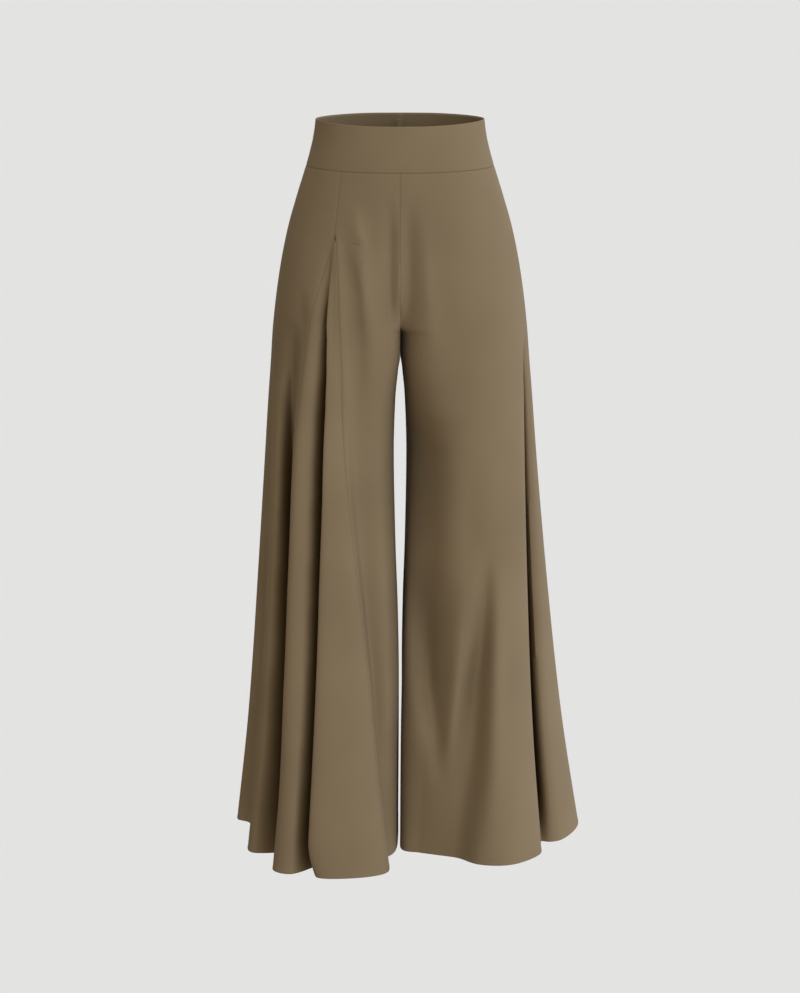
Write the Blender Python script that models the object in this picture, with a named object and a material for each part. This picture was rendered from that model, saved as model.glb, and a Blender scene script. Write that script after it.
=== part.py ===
"""Palazzo pants: a high contoured waistband over two flared legs, held open in their worn form.

Each panel is one cloth wall. A leg is a stack of plan sections, one at each height, and every fold is a
line down the leg that leaves the smooth section at its own height and reaches its own place at the hem.
Metres, +Z up, -Y the wearer's front, +X the wearer's left. The origin is the middle of the waist opening.
"""

import math
from collections import namedtuple

import bmesh
import bpy
import numpy as np
from mathutils import Matrix, Vector

# ---------------------------------------------------------------- driving sizes
HEM_Z = -1.065            # hem below the waist, which makes an outseam of about 1.09 m
BAND_WALL = 0.0020        # two layers of cloth and their stiffening
CLOTH_WALL = 0.0012
SEAM_GAP = 0.0003         # between the edges of two panels
FOLD_EASE = 0.08          # share of a fold's length over which it starts softly
FLICK_HEIGHT = 0.055      # a fold's corner that turns in does so this far above the hem

TOP_FRONT_DIP = 0.006     # the band's top edge dips this far at the front
TOP_BACK_RISE = 0.003     # and rises this far at the back
BAND_SIDE_Z = -0.0660     # the band's lower seam at the sides
BAND_SEAM_DIP = 0.0040    # its dip at the front
BAND_SEAM_RISE = 0.0020   # its rise at the back

PLEAT_Z = -0.155          # the godet's point, where the seam from the waistband parts
FORK_Z = -0.270           # above this the two legs share one centre seam, front and back
CROTCH_Z = -0.302
SHARP_DEGREES = 50        # edges sharper than this are shaded as edges
SAME_POINT = 1e-6

OLIVE = (0.170, 0.130, 0.074, 1.0)
ZIP_OLIVE = (0.130, 0.102, 0.062, 1.0)

# ---------------------------------------------------------------- the smooth form
# One row a height, for one leg, x counted outwards from the middle of the body: the side seam, the
# foremost and the rearmost point, the inner line, where the front and back seams lie on it, how far
# the section has parted into a leg (0 one belly, 1 a leg), and how square a leg turns inwards, where
# a low number is square.
Section = namedtuple(
    "Section",
    "z side_x side_y front_x front_y back_x back_y inner_x front_seam_y back_seam_y leg square",
)
SECTIONS = [
    Section(+0.010, 0.1210, 0.002, 0.000, -0.0880, 0.000, 0.0880, 0.0000, -0.0880, 0.0880, 0.00, 0.55),
    Section(+0.000, 0.1212, 0.002, 0.000, -0.0885, 0.000, 0.0885, 0.0000, -0.0885, 0.0885, 0.00, 0.55),
    Section(-0.024, 0.1242, 0.002, 0.000, -0.0910, 0.000, 0.0920, 0.0000, -0.0910, 0.0920, 0.00, 0.55),
    Section(-0.045, 0.1290, 0.002, 0.000, -0.0940, 0.000, 0.0960, 0.0000, -0.0940, 0.0960, 0.00, 0.55),
    Section(-0.066, 0.1350, 0.002, 0.000, -0.0970, 0.000, 0.1000, 0.0000, -0.0970, 0.1000, 0.00, 0.55),
    Section(-0.109, 0.1485, 0.002, 0.006, -0.1020, 0.004, 0.1085, 0.0000, -0.1018, 0.1085, 0.00, 0.55),
    Section(-0.153, 0.1612, 0.003, 0.022, -0.1055, 0.020, 0.1150, 0.0000, -0.1045, 0.1145, 0.00, 0.55),
    Section(-0.196, 0.1706, 0.004, 0.042, -0.1080, 0.046, 0.1190, 0.0000, -0.1055, 0.1170, 0.00, 0.40),
    Section(-0.240, 0.1778, 0.005, 0.062, -0.1095, 0.066, 0.1200, 0.0000, -0.1040, 0.1150, 0.00, 0.25),
    Section(-0.272, 0.1820, 0.006, 0.075, -0.1105, 0.077, 0.1195, 0.0000, -0.1010, 0.1100, 0.20, 0.20),
    Section(-0.290, 0.1840, 0.006, 0.080, -0.1110, 0.082, 0.1190, 0.0000, -0.0930, 0.0990, 0.75, 0.18),
    Section(-0.302, 0.1852, 0.007, 0.084, -0.1115, 0.084, 0.1188, 0.0005, +0.0150, 0.0150, 1.00, 0.18),
    Section(-0.345, 0.1885, 0.008, 0.091, -0.1135, 0.090, 0.1185, 0.0010, +0.0150, 0.0150, 1.00, 0.34),
    Section(-0.400, 0.1932, 0.010, 0.095, -0.1160, 0.094, 0.1195, 0.0055, +0.0150, 0.0150, 1.00, 0.58),
    Section(-0.485, 0.1998, 0.012, 0.098, -0.1200, 0.098, 0.1235, 0.0092, +0.0150, 0.0150, 1.00, 0.78),
    Section(-0.620, 0.2108, 0.014, 0.101, -0.1270, 0.102, 0.1325, 0.0070, +0.0150, 0.0150, 1.00, 0.88),
    Section(-0.710, 0.2185, 0.015, 0.104, -0.1330, 0.106, 0.1400, 0.0040, +0.0150, 0.0150, 1.00, 0.90),
    Section(-0.802, 0.2268, 0.016, 0.107, -0.1390, 0.110, 0.1490, 0.0026, +0.0150, 0.0150, 1.00, 0.90),
    Section(-0.900, 0.2370, 0.018, 0.111, -0.1460, 0.115, 0.1600, 0.0026, +0.0150, 0.0150, 1.00, 0.90),
    Section(HEM_Z, 0.2590, 0.020, 0.118, -0.1580, 0.122, 0.1780, 0.0030, +0.0150, 0.0150, 1.00, 0.90),
]
OUTER_SQUARE = 0.90       # the outer arcs are a little squarer than an ellipse
ARC_POINTS = 240
INNER_DEPTH_SHARE = 0.03  # depth counts this much along an inner arc, so folds keep their places across

# ---------------------------------------------------------------- the folds
# Along a section 0 is the front centre or inseam, 1 the side seam and 2 the back centre or inseam.
# One row a fold line: where it starts along the section, where it would reach the hem of the smooth
# form, the height at which it starts, how fast it grows (1 evenly, more late), its plan place at the
# hem with x outwards, and how far its corner turns in just above the hem.
Fold = namedtuple("Fold", "name along_top along_hem start_z growth hem_x hem_y flick")
RIGHT_FOLDS = [
    Fold("seam_front", 0.000, 0.000, -0.400, 1.00, 0.0030, +0.0150, 0.0),
    Fold("inner_face", 0.012, 0.012, -0.400, 1.20, 0.0032, -0.0480, 0.0),
    Fold("inner_turn", 0.060, 0.050, -0.450, 1.60, 0.0060, -0.1010, 0.0),
    Fold("inner_step", 0.220, 0.160, -0.350, 1.40, 0.0190, -0.1340, 0.0),
    Fold("godet_crease", 0.378, 0.250, PLEAT_Z, 1.12, 0.0185, -0.1980, 0.0),
    Fold("front_face", 0.394, 0.360, PLEAT_Z, 1.10, 0.0700, -0.2220, 0.0),
    Fold("front_edge", 0.414, 0.440, PLEAT_Z, 0.95, 0.1340, -0.2170, -0.014),
    Fold("front_valley", 0.436, 0.460, PLEAT_Z, 0.85, 0.1000, -0.1500, 0.0),
    Fold("middle_crest", 0.492, 0.560, -0.180, 0.90, 0.1620, -0.2040, 0.0),
    Fold("middle_edge", 0.565, 0.630, -0.220, 0.84, 0.1840, -0.1850, 0.0),
    Fold("middle_valley", 0.600, 0.670, -0.240, 0.90, 0.1620, -0.1200, 0.0),
    Fold("outer_crest", 0.800, 0.815, -0.300, 0.60, 0.2170, -0.1120, 0.0),
    Fold("outer_edge", 0.850, 0.845, -0.300, 0.70, 0.2250, -0.0980, 0.0),
    Fold("outer_valley", 0.880, 0.880, -0.300, 0.90, 0.2110, -0.0450, 0.0),
    Fold("side_crest", 0.950, 0.950, -0.300, 1.20, 0.2340, -0.0030, 0.0),
    Fold("side_seam", 1.000, 1.000, -0.300, 1.40, 0.2480, +0.0240, 0.0),
    Fold("back_crest_1", 1.120, 1.120, -0.420, 1.00, 0.2380, +0.0850, 0.0),
    Fold("back_valley_1", 1.240, 1.230, -0.480, 1.00, 0.2090, +0.1220, 0.0),
    Fold("back_crest_2", 1.340, 1.330, -0.400, 1.00, 0.1900, +0.1720, 0.0),
    Fold("back_valley_2", 1.460, 1.460, -0.450, 1.00, 0.1460, +0.1540, 0.0),
    Fold("back_crest_3", 1.600, 1.580, -0.360, 1.00, 0.1050, +0.2040, 0.0),
    Fold("back_valley_3", 1.740, 1.730, -0.520, 1.00, 0.0640, +0.1720, 0.0),
    Fold("back_crest_4", 1.890, 1.870, -0.560, 1.00, 0.0240, +0.1760, 0.0),
    Fold("inner_back", 1.980, 1.980, -0.450, 1.00, 0.0045, +0.1000, 0.0),
    Fold("seam_back", 2.000, 2.000, -0.400, 1.00, 0.0030, +0.0150, 0.0),
]
LEFT_FOLDS = [
    Fold("seam_front", 0.000, 0.000, -0.400, 1.00, 0.0030, +0.0150, 0.0),
    Fold("inner_face", 0.012, 0.012, -0.700, 1.00, 0.0026, -0.0550, 0.0),
    Fold("inner_turn", 0.045, 0.040, -0.750, 1.00, 0.0025, -0.0980, 0.0),
    Fold("inner_flat", 0.150, 0.120, -0.750, 1.00, 0.0280, -0.1120, 0.0),
    Fold("step_back", 0.332, 0.270, -0.450, 0.90, 0.0800, -0.1330, 0.0),
    Fold("step_front", 0.468, 0.395, -0.450, 0.75, 0.1150, -0.1640, 0.0),
    Fold("front_face", 0.600, 0.590, -0.450, 1.00, 0.1720, -0.1590, 0.0),
    Fold("side_edge", 0.785, 0.690, -0.260, 0.90, 0.2070, -0.1160, 0.0),
    Fold("side_valley", 0.815, 0.740, -0.260, 0.80, 0.1940, -0.0700, 0.0),
    Fold("side_crest", 0.880, 0.850, -0.260, 1.00, 0.2400, -0.0560, 0.0),
    Fold("side_seam", 1.000, 1.000, -0.300, 1.90, 0.2715, +0.0240, 0.0),
    Fold("back_crest_1", 1.120, 1.120, -0.430, 1.50, 0.2540, +0.0900, 0.0),
    Fold("back_valley_1", 1.240, 1.230, -0.470, 1.00, 0.2170, +0.1240, 0.0),
    Fold("back_crest_2", 1.350, 1.340, -0.400, 1.00, 0.1960, +0.1750, 0.0),
    Fold("back_valley_2", 1.470, 1.470, -0.500, 1.00, 0.1440, +0.1580, 0.0),
    Fold("back_crest_3", 1.610, 1.600, -0.380, 1.00, 0.1010, +0.2020, 0.0),
    Fold("back_valley_3", 1.750, 1.740, -0.540, 1.00, 0.0600, +0.1740, 0.0),
    Fold("back_crest_4", 1.890, 1.870, -0.580, 1.00, 0.0260, +0.1740, 0.0),
    Fold("inner_back", 1.980, 1.980, -0.450, 1.00, 0.0045, +0.1000, 0.0),
    Fold("seam_back", 2.000, 2.000, -0.400, 1.00, 0.0030, +0.0150, 0.0),
]

# The seams of the right front, one row a height, as fold numbers: one seam from the waistband parts
# at the pleat into the two sides of the godet.
SeamPoint = namedtuple("SeamPoint", "z fold")
GODET_OUTER_SEAM = [
    SeamPoint(-0.070, 7.29),
    SeamPoint(-0.107, 7.10),
    SeamPoint(PLEAT_Z, 6.40),
    SeamPoint(-0.198, 7.40),
    SeamPoint(-0.246, 8.00),
    SeamPoint(-0.290, 8.50),
    SeamPoint(-0.350, 9.00),
    SeamPoint(HEM_Z, 9.00),
]
GODET_INNER_SEAM = [
    SeamPoint(-0.070, 7.29),
    SeamPoint(-0.107, 7.10),
    SeamPoint(PLEAT_Z, 6.40),
    SeamPoint(-0.170, 5.30),
    SeamPoint(-0.200, 4.30),
    SeamPoint(-0.240, 4.00),
    SeamPoint(HEM_Z, 4.00),
]

# ---------------------------------------------------------------- rows and columns of the walls
LEG_ROWS = [
    -0.087, -0.110, -0.132, PLEAT_Z, -0.170, -0.188, -0.208, -0.230, -0.254, -0.275, -0.290, -0.298,
    CROTCH_Z, -0.322, -0.355, -0.410, -0.480, -0.560, -0.650, -0.740, -0.830, -0.915, -0.985, -1.035, HEM_Z,
]
CLOTH_PER_COLUMN = 0.023  # a wall gets a column for about this much cloth at the hem
BAND_SHARES = [0.0, 0.30, 0.39, 0.70, 1.0]  # rows of the band, as shares of its height from the top
BAND_COLUMNS = 26         # in a quarter of the waist

# ---------------------------------------------------------------- the zip at the back centre
ZIP_TOP_Z, ZIP_END_Z = -0.003, -0.225
TAPE_HALF_WIDTH = 0.011
TAPE_WALL = 0.0009
TAPE_GAP = 0.0003
TAPE_ROWS = 10
TAPE_NOTCH = 0.0026       # half the width that the tape leaves round the slider's neck
NOTCH_END_Z = -0.0175
NOTCH_HALF_WIDTH = 0.0014  # the band parts this far round the slider's neck
NOTCH_ROWS = 2            # over this many of the band's rows
SLIDER_Z = -0.0110
# In the slider's own frame: x across, y out of the cloth, z up along it, from the band's outer face.
SLIDER_BODY = ((-0.0042, 0.0042), (-0.0063, -0.0035), (-0.0052, 0.0052))
SLIDER_ROUNDING = 0.0011
NECK_HALF_WIDTH = 0.0009
LOOP_OUT = (-0.0042, 0.0008, 0.0029, 0.0038)   # the neck's root, the loop's hole and its outer edge
LOOP_UP = (-0.0026, -0.0014, 0.0020, 0.0034)
LOOP_ROUNDING = 0.0008
PULL_PIN = (0.0, 0.00185, -0.0004)             # the axis that the pull turns on
PULL_WALL = 0.0010
PULL_ACROSS = (-0.0026, -0.0016, 0.0016, 0.0026)
PULL_DOWN = (0.0005, -0.0005, -0.0052, -0.0064, -0.0220)  # pin, eye, and the tab to its end
PULL_ROUNDING = 0.0012


# ================================================================ the surface
def eased(t):
    return t * t * (3 - 2 * t)


def along_rows(rows, z):
    """The columns of a table at height z, on a smooth curve that never overshoots a row."""
    table = np.array(rows, float)
    heights, values = table[:, 0], table[:, 1:]
    last = len(heights) - 1
    row = int(np.clip(np.searchsorted(-heights, -z) - 1, 0, last - 1))

    def slope(i):
        if i in (0, last):
            j = min(i, last - 1)
            return (values[j + 1] - values[j]) / (heights[j] - heights[j + 1])
        above, below = heights[i - 1] - heights[i], heights[i] - heights[i + 1]
        rise, fall = (values[i] - values[i - 1]) / above, (values[i + 1] - values[i]) / below
        same_way = rise * fall > 0
        weight_rise, weight_fall = 2 * below + above, below + 2 * above
        rise, fall = np.where(same_way, rise, 1.0), np.where(same_way, fall, 1.0)
        mean = (weight_rise + weight_fall) / (weight_rise / rise + weight_fall / fall)
        return np.where(same_way, mean, 0.0)

    step = heights[row] - heights[row + 1]
    t = float(np.clip((heights[row] - z) / step, 0, 1))
    start, end = values[row], values[row + 1]
    return (
        start
        + (end - start) * eased(t)
        + slope(row) * step * (t * (1 - t) ** 2)
        - slope(row + 1) * step * (t * t * (1 - t))
    )


def inner_arc(inner, crest, leg, square):
    """From the inner line to the foremost or rearmost point: a hollow on the belly, a turn on a leg."""
    t = np.linspace(0, 1, ARC_POINTS)
    wide, deep = crest[0] - inner[0], crest[1] - inner[1]
    hollow = np.column_stack([inner[0] + wide * t, inner[1] + deep * (1 - np.cos(math.pi * t)) / 2])
    turn = t * math.pi / 2
    cos, sin = np.clip(np.cos(turn), 0, 1) ** square, np.sin(turn) ** square
    round_leg = np.column_stack([crest[0] - wide * cos, inner[1] + deep * sin])
    return hollow * (1 - leg) + round_leg * leg


def outer_arc(crest, side):
    """From the foremost or rearmost point out to the side seam."""
    turn = np.linspace(0, math.pi / 2, ARC_POINTS)
    cos = np.clip(np.cos(turn), 0, 1) ** OUTER_SQUARE
    sin = np.sin(turn) ** OUTER_SQUARE
    return np.column_stack([crest[0] + (side[0] - crest[0]) * sin, side[1] + (crest[1] - side[1]) * cos])


def smooth_section(z):
    """The front and back halves of one leg's plan section, each with its lengths and points."""
    row = Section(z, *along_rows(SECTIONS, z))
    side = (row.side_x, row.side_y)
    front_crest, back_crest = (row.front_x, row.front_y), (row.back_x, row.back_y)
    front_inner = inner_arc((row.inner_x, row.front_seam_y), front_crest, row.leg, row.square)
    back_inner = inner_arc((row.inner_x, row.back_seam_y), back_crest, row.leg, row.square)
    front = np.vstack([front_inner[:-1], outer_arc(front_crest, side)])
    back = np.vstack([outer_arc(back_crest, side)[::-1], back_inner[::-1][1:]])
    halves = []
    for line, inner in ((front, slice(0, ARC_POINTS - 1)), (back, slice(1 - ARC_POINTS, None))):
        dx, dy = np.diff(line, axis=0).T
        share = np.ones(len(dx))
        share[inner] = INNER_DEPTH_SHARE
        lengths = np.concatenate([[0], np.cumsum(np.hypot(dx, dy * share) + 1e-9)])
        halves.append((lengths / lengths[-1], line))
    return halves


def on_section(halves, along):
    points = np.empty((len(along), 2))
    for half, (lengths, line) in enumerate(halves):
        use = (along <= 1) if half == 0 else (along > 1)
        for axis in (0, 1):
            points[use, axis] = np.interp(along[use] - half, lengths, line[:, axis])
    return points


HEM_SECTION = smooth_section(HEM_Z)


def fold_places(folds, z):
    """Where each fold line lies along the section at height z, and how far it stands off it."""
    along, off = np.empty(len(folds)), np.empty((len(folds), 2))
    for i, fold in enumerate(folds):
        t = float(np.clip((fold.start_z - z) / (fold.start_z - HEM_Z), 0, 1))
        along[i] = fold.along_top + (fold.along_hem - fold.along_top) * t
        growth = t**fold.growth * t / (t + FOLD_EASE) * (1 + FOLD_EASE)
        hem = on_section(HEM_SECTION, np.array([fold.along_hem]))[0]
        near_hem = float(np.clip((HEM_Z + FLICK_HEIGHT - z) / FLICK_HEIGHT, 0, 1))
        off[i] = growth * (np.array([fold.hem_x, fold.hem_y]) - hem)
        off[i, 0] += fold.flick * near_hem**2
    return along, off


def leg_row(folds, numbers, z):
    """Plan points of a leg at height z for fold numbers, on one smooth curve through the fold lines."""
    halves = smooth_section(z)
    along, off = fold_places(folds, z)
    places = on_section(halves, along) + off
    steps = np.sqrt(np.maximum(np.hypot(*np.diff(places, axis=0).T), 1e-5))
    t = np.concatenate([[0], np.cumsum(steps)])
    values = np.column_stack([along, off])
    slopes = np.diff(values, axis=0) / steps[:, None]
    before, after = steps[:-1, None], steps[1:, None]
    between = (slopes[:-1] * after + slopes[1:] * before) / (before + after)
    tangents = np.vstack([slopes[0], between, slopes[-1]])
    low = np.minimum(np.append(slopes[0, 0], slopes[:, 0]), np.append(slopes[:, 0], slopes[-1, 0]))
    tangents[:, 0] = np.clip(tangents[:, 0], 0, np.maximum(3 * low, 0))
    x = np.interp(numbers, np.arange(len(folds)), t)
    k = np.clip(np.searchsorted(t, x, side="right") - 1, 0, len(t) - 2)
    span = (t[k + 1] - t[k])[:, None]
    u = (x - t[k])[:, None] / span
    curve = (
        values[k]
        + (values[k + 1] - values[k]) * eased(u)
        + tangents[k] * span * u * (1 - u) ** 2
        - tangents[k + 1] * span * u * u * (1 - u)
    )
    return on_section(halves, np.clip(curve[:, 0], 0, 2)) + curve[:, 1:]


def leg_points(folds, numbers, heights):
    """Points of a leg's outer face for fold numbers and heights of the same length."""
    points = np.empty((len(numbers), 3))
    points[:, 2] = heights
    for z in np.unique(heights):
        use = heights == z
        points[use, :2] = leg_row(folds, numbers[use], z)
    return points


def edge_height(side, front_drop, back_rise, y):
    """A level edge round the body that dips towards the front and rises towards the back."""
    depth = 0.095
    toward = np.clip(y / depth, -1, 1)
    return side + np.where(toward < 0, -front_drop * toward**2, back_rise * toward**2)


def band_top(y):
    return edge_height(0.0, TOP_FRONT_DIP, TOP_BACK_RISE, y)


def band_bottom(y):
    return edge_height(BAND_SIDE_Z, BAND_SEAM_DIP, BAND_SEAM_RISE, y)


def seam_fold(seam, z):
    rows = sorted(seam)
    return float(np.interp(z, [row.z for row in rows], [row.fold for row in rows]))


# ================================================================ making solids
def material(name, colour, roughness, metallic=0.0):
    made = bpy.data.materials.get(name) or bpy.data.materials.new(name)
    made.use_nodes = True
    shader = made.node_tree.nodes["Principled BSDF"]
    shader.inputs["Base Color"].default_value = colour
    shader.inputs["Roughness"].default_value = roughness
    shader.inputs["Metallic"].default_value = metallic
    return made


def object_from(name, bm, finish, parent):
    mesh = bpy.data.meshes.new(name)
    bm.to_mesh(mesh)
    bm.free()
    mesh.materials.append(finish)
    mesh.shade_smooth()
    mesh.set_sharp_from_angle(angle=math.radians(SHARP_DEGREES))
    made = bpy.data.objects.new(name, mesh)
    bpy.context.scene.collection.objects.link(made)
    made.parent = parent
    return made


def wall_object(name, outer, inner, finish, parent, holes=()):
    """A closed wall between two sheets of points, each rows by columns, open at holes of (row, column)."""
    rows, columns = outer.shape[:2]
    bm = bmesh.new()
    bmesh.ops.create_grid(bm, x_segments=columns - 1, y_segments=rows - 1, size=1.0)

    def place(co):
        return (1 - co.y) / 2 * (rows - 1), (co.x + 1) / 2 * (columns - 1)

    def opened(face):
        row, column = place(face.calc_center_median())
        return (int(row), int(column)) in holes

    bmesh.ops.delete(bm, geom=[face for face in bm.faces if opened(face)], context="FACES")
    made = bmesh.ops.extrude_face_region(bm, geom=bm.faces[:])
    front = {item for item in made["geom"] if isinstance(item, bmesh.types.BMVert)}
    for vert in bm.verts:
        row, column = place(vert.co)
        vert.co = Vector((outer if vert in front else inner)[round(row), round(column)])
    bmesh.ops.remove_doubles(bm, verts=bm.verts, dist=SAME_POINT)
    bmesh.ops.recalc_face_normals(bm, faces=bm.faces)
    return object_from(name, bm, finish, parent)


def inside_of(outer, wall, centre, meets):
    """The points one wall's thickness in from a sheet of outer points, rows by columns.

    centre marks the rows whose ends lie on the middle plane of the body, and meets those whose two
    ends are one line.
    """
    faces = np.cross(outer[1:, 1:] - outer[:-1, :-1], outer[:-1, 1:] - outer[1:, :-1])
    areas = np.linalg.norm(faces, axis=-1, keepdims=True)
    faces = np.where(areas > SAME_POINT**2, faces / np.maximum(areas, SAME_POINT**2), 0)
    normals = np.zeros_like(outer)
    for rows in (slice(None, -1), slice(1, None)):
        for columns in (slice(None, -1), slice(1, None)):
            normals[rows, columns] += faces
    for row, points in enumerate(outer):
        apart = np.linalg.norm(np.diff(points, axis=0), axis=1) > SAME_POINT
        group = np.concatenate([[0], np.cumsum(apart)])
        summed = np.zeros((group[-1] + 1, 3))
        np.add.at(summed, group, normals[row])
        normals[row] = summed[group]
        if meets[row]:
            normals[row, [0, -1]] = normals[row, 0] + normals[row, -1]
        if centre[row]:
            normals[row, [0, -1], 0] = 0
    return outer - normals / np.linalg.norm(normals, axis=-1, keepdims=True) * wall


def clear_of_seams(outer, inner):
    """Both faces of a panel, with the end columns moved half a seam's gap along the surface."""
    outer, inner = outer.copy(), inner.copy()
    for end, near in ((0, 1), (-1, -2)):
        along = outer[:, near] - outer[:, end]
        step = along / np.linalg.norm(along, axis=-1, keepdims=True) * SEAM_GAP / 2
        outer[:, end] += step
        inner[:, end] += step
    return outer, inner


# ================================================================ the legs
# One row a panel: its seams, the folds it starts and ends at by the hem, and whether its top is a point.
Panel = namedtuple("Panel", "name start end first last pointed")


def straight(fold):
    return [SeamPoint(BAND_SIDE_Z, fold), SeamPoint(HEM_Z, fold)]


RIGHT_PANELS = [
    Panel("front_centre_right", straight(0), GODET_INNER_SEAM, 0, 4, False),
    Panel("godet_right", GODET_INNER_SEAM, GODET_OUTER_SEAM, 4, 9, True),
    Panel("front_side_right", GODET_OUTER_SEAM, straight(15), 9, 15, False),
    Panel("back_right", straight(15), straight(24), 15, 24, False),
]
LEFT_PANELS = [
    Panel("front_left", straight(0), straight(10), 0, 10, False),
    Panel("back_left", straight(10), straight(19), 10, 19, False),
]


def column_shares(folds, panel):
    """Where a panel's columns lie between its seams: more where a fold holds more cloth."""
    numbers = [0.0]
    for i in range(panel.first, panel.last):
        cloth = math.hypot(folds[i + 1].hem_x - folds[i].hem_x, folds[i + 1].hem_y - folds[i].hem_y)
        count = max(2, round(cloth / CLOTH_PER_COLUMN))
        numbers += [i - panel.first + (1 - math.cos(math.pi * (j + 1) / count)) / 2 for j in range(count)]
    return np.array(numbers) / (panel.last - panel.first)


def point_of(above, below, share):
    """A row that draws a pointed panel's top together, that share of the way down from the parting."""
    tip = above[0] + (below.mean(axis=0) - above[0]) * share
    return np.broadcast_to(tip, (1, len(below), 3))


def leg(folds, panels, side, finish, parent):
    """The panels of one leg. side is +1 for the left leg and -1 for the right."""
    shares = [column_shares(folds, panel) for panel in panels]
    firsts = np.concatenate([[0], np.cumsum([len(share) - 1 for share in shares])])

    def fold_numbers(z):
        row = [0.0]
        for panel, share in zip(panels, shares):
            start, end = seam_fold(panel.start, z), seam_fold(panel.end, z)
            row += list(start + (end - start) * share[1:])
        return np.array(row)

    numbers = fold_numbers(BAND_SIDE_Z)
    level = leg_points(folds, numbers, np.full(len(numbers), BAND_SIDE_Z))
    rows = [leg_points(folds, numbers, band_bottom(level[:, 1]) - SEAM_GAP)]
    rows += [leg_points(folds, fold_numbers(z), np.full(len(numbers), z)) for z in LEG_ROWS]
    outer = np.array(rows)
    heights = np.array([BAND_SIDE_Z] + LEG_ROWS)
    inner = inside_of(outer, CLOTH_WALL, heights > FORK_Z, heights <= CROTCH_Z)
    for i, panel in enumerate(panels):
        columns = slice(firsts[i], firsts[i + 1] + 1)
        rows = heights < PLEAT_Z if panel.pointed else heights < 0
        faces = clear_of_seams(outer[rows, columns], inner[rows, columns])
        if panel.pointed:
            share = 1.5 * SEAM_GAP / np.linalg.norm(faces[0][0, -1] - faces[0][0, 0])
            parting = heights == PLEAT_Z
            above = [grid[parting, columns][0] for grid in (outer, inner)]
            faces = [
                np.concatenate([point_of(top, face[0], share), face]) for top, face in zip(above, faces)
            ]
        for face in faces:
            face[..., 0] = np.maximum(face[..., 0], SEAM_GAP / 2) * side
        wall_object(panel.name, *faces, finish, parent)


# ================================================================ the waistband
def waistband(finish, parent):
    """Its three pieces, in turns round the waist from the back centre: -2 to 2, with 0 the front centre."""
    turns = np.linspace(-2, 2, 4 * BAND_COLUMNS + 1)
    along, side = np.abs(turns), np.sign(turns)
    level = on_section(smooth_section(BAND_SIDE_Z), along)
    top, bottom = band_top(level[:, 1]), band_bottom(level[:, 1])
    outer = np.empty((len(BAND_SHARES), len(turns), 3))
    for row, share in enumerate(BAND_SHARES):
        outer[row, :, 2] = top + (bottom - top) * share
        for column, z in enumerate(outer[row, :, 2]):
            x, y = on_section(smooth_section(z), along[[column]])[0]
            outer[row, column, :2] = x * side[column], y
    every_row = np.ones(len(BAND_SHARES), bool)
    inner = inside_of(outer, BAND_WALL, every_row, every_row)
    pieces = (("waistband_back_right", -2, -1), ("waistband_front", -1, 1), ("waistband_back_left", 1, 2))
    for name, start, end in pieces:
        columns = slice((start + 2) * BAND_COLUMNS, (end + 2) * BAND_COLUMNS + 1)
        faces = clear_of_seams(outer[:, columns], inner[:, columns])
        for turn, edge in ((start, 0), (end, -1)):
            if abs(turn) == 2:
                for face in faces:
                    face[:NOTCH_ROWS, edge, 0] = math.copysign(NOTCH_HALF_WIDTH, turn)
        wall_object(name, *faces, finish, parent)


# ================================================================ the zip
def back_depth(x, z):
    """The depth of the outer face near the back centre, x from the middle."""
    near = on_section(smooth_section(z), np.linspace(1.6, 2.0, 80))
    return float(np.interp(abs(x), near[::-1, 0], near[::-1, 1]))


def zip_tape(finish, parent):
    """Both tapes of the closed zip as one strip on the inside, open at the top round the slider's neck."""
    across = (-TAPE_HALF_WIDTH, -TAPE_NOTCH, TAPE_NOTCH, TAPE_HALF_WIDTH)
    heights = [ZIP_TOP_Z] + list(np.linspace(NOTCH_END_Z, ZIP_END_Z, TAPE_ROWS + 1))
    faces = []
    for inset in (BAND_WALL + TAPE_GAP, BAND_WALL + TAPE_GAP + TAPE_WALL):
        faces.append(np.array([[(x, back_depth(x, z) - inset, z) for x in across] for z in heights]))
    wall_object("zip_tape", *faces, finish, parent, holes={(0, 1)})


def slider_frame():
    """The slider's place on the band's outer face, and the band's slope there."""
    step = 0.005
    slope = (back_depth(0, SLIDER_Z - step) - back_depth(0, SLIDER_Z + step)) / (2 * step)
    turn = Matrix.Rotation(math.atan(slope), 4, "X")
    return Matrix.Translation((0, back_depth(0, SLIDER_Z), SLIDER_Z)) @ turn


def flat_ring(name, rows, columns, place, depth, hole, rounded, rounding, finish, parent):
    """A flat plate with one opening, from its lines one way and the other, depth thick about its middle.

    place turns a row line, a column line and a depth into a point.
    """
    faces = []
    for side in (-depth / 2, depth / 2):
        faces.append(np.array([[place(r, c, side) for c in columns] for r in rows]))
    made = wall_object(name, *faces, finish, parent, holes={hole})
    bm = bmesh.new()
    bm.from_mesh(made.data)
    edges = [e for e in bm.edges if rounded(e)]
    bmesh.ops.bevel(
        bm, geom=edges, offset=rounding, segments=2, profile=0.5, material=-1, affect="EDGES",
    )
    bm.to_mesh(made.data)
    bm.free()
    return made


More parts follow.
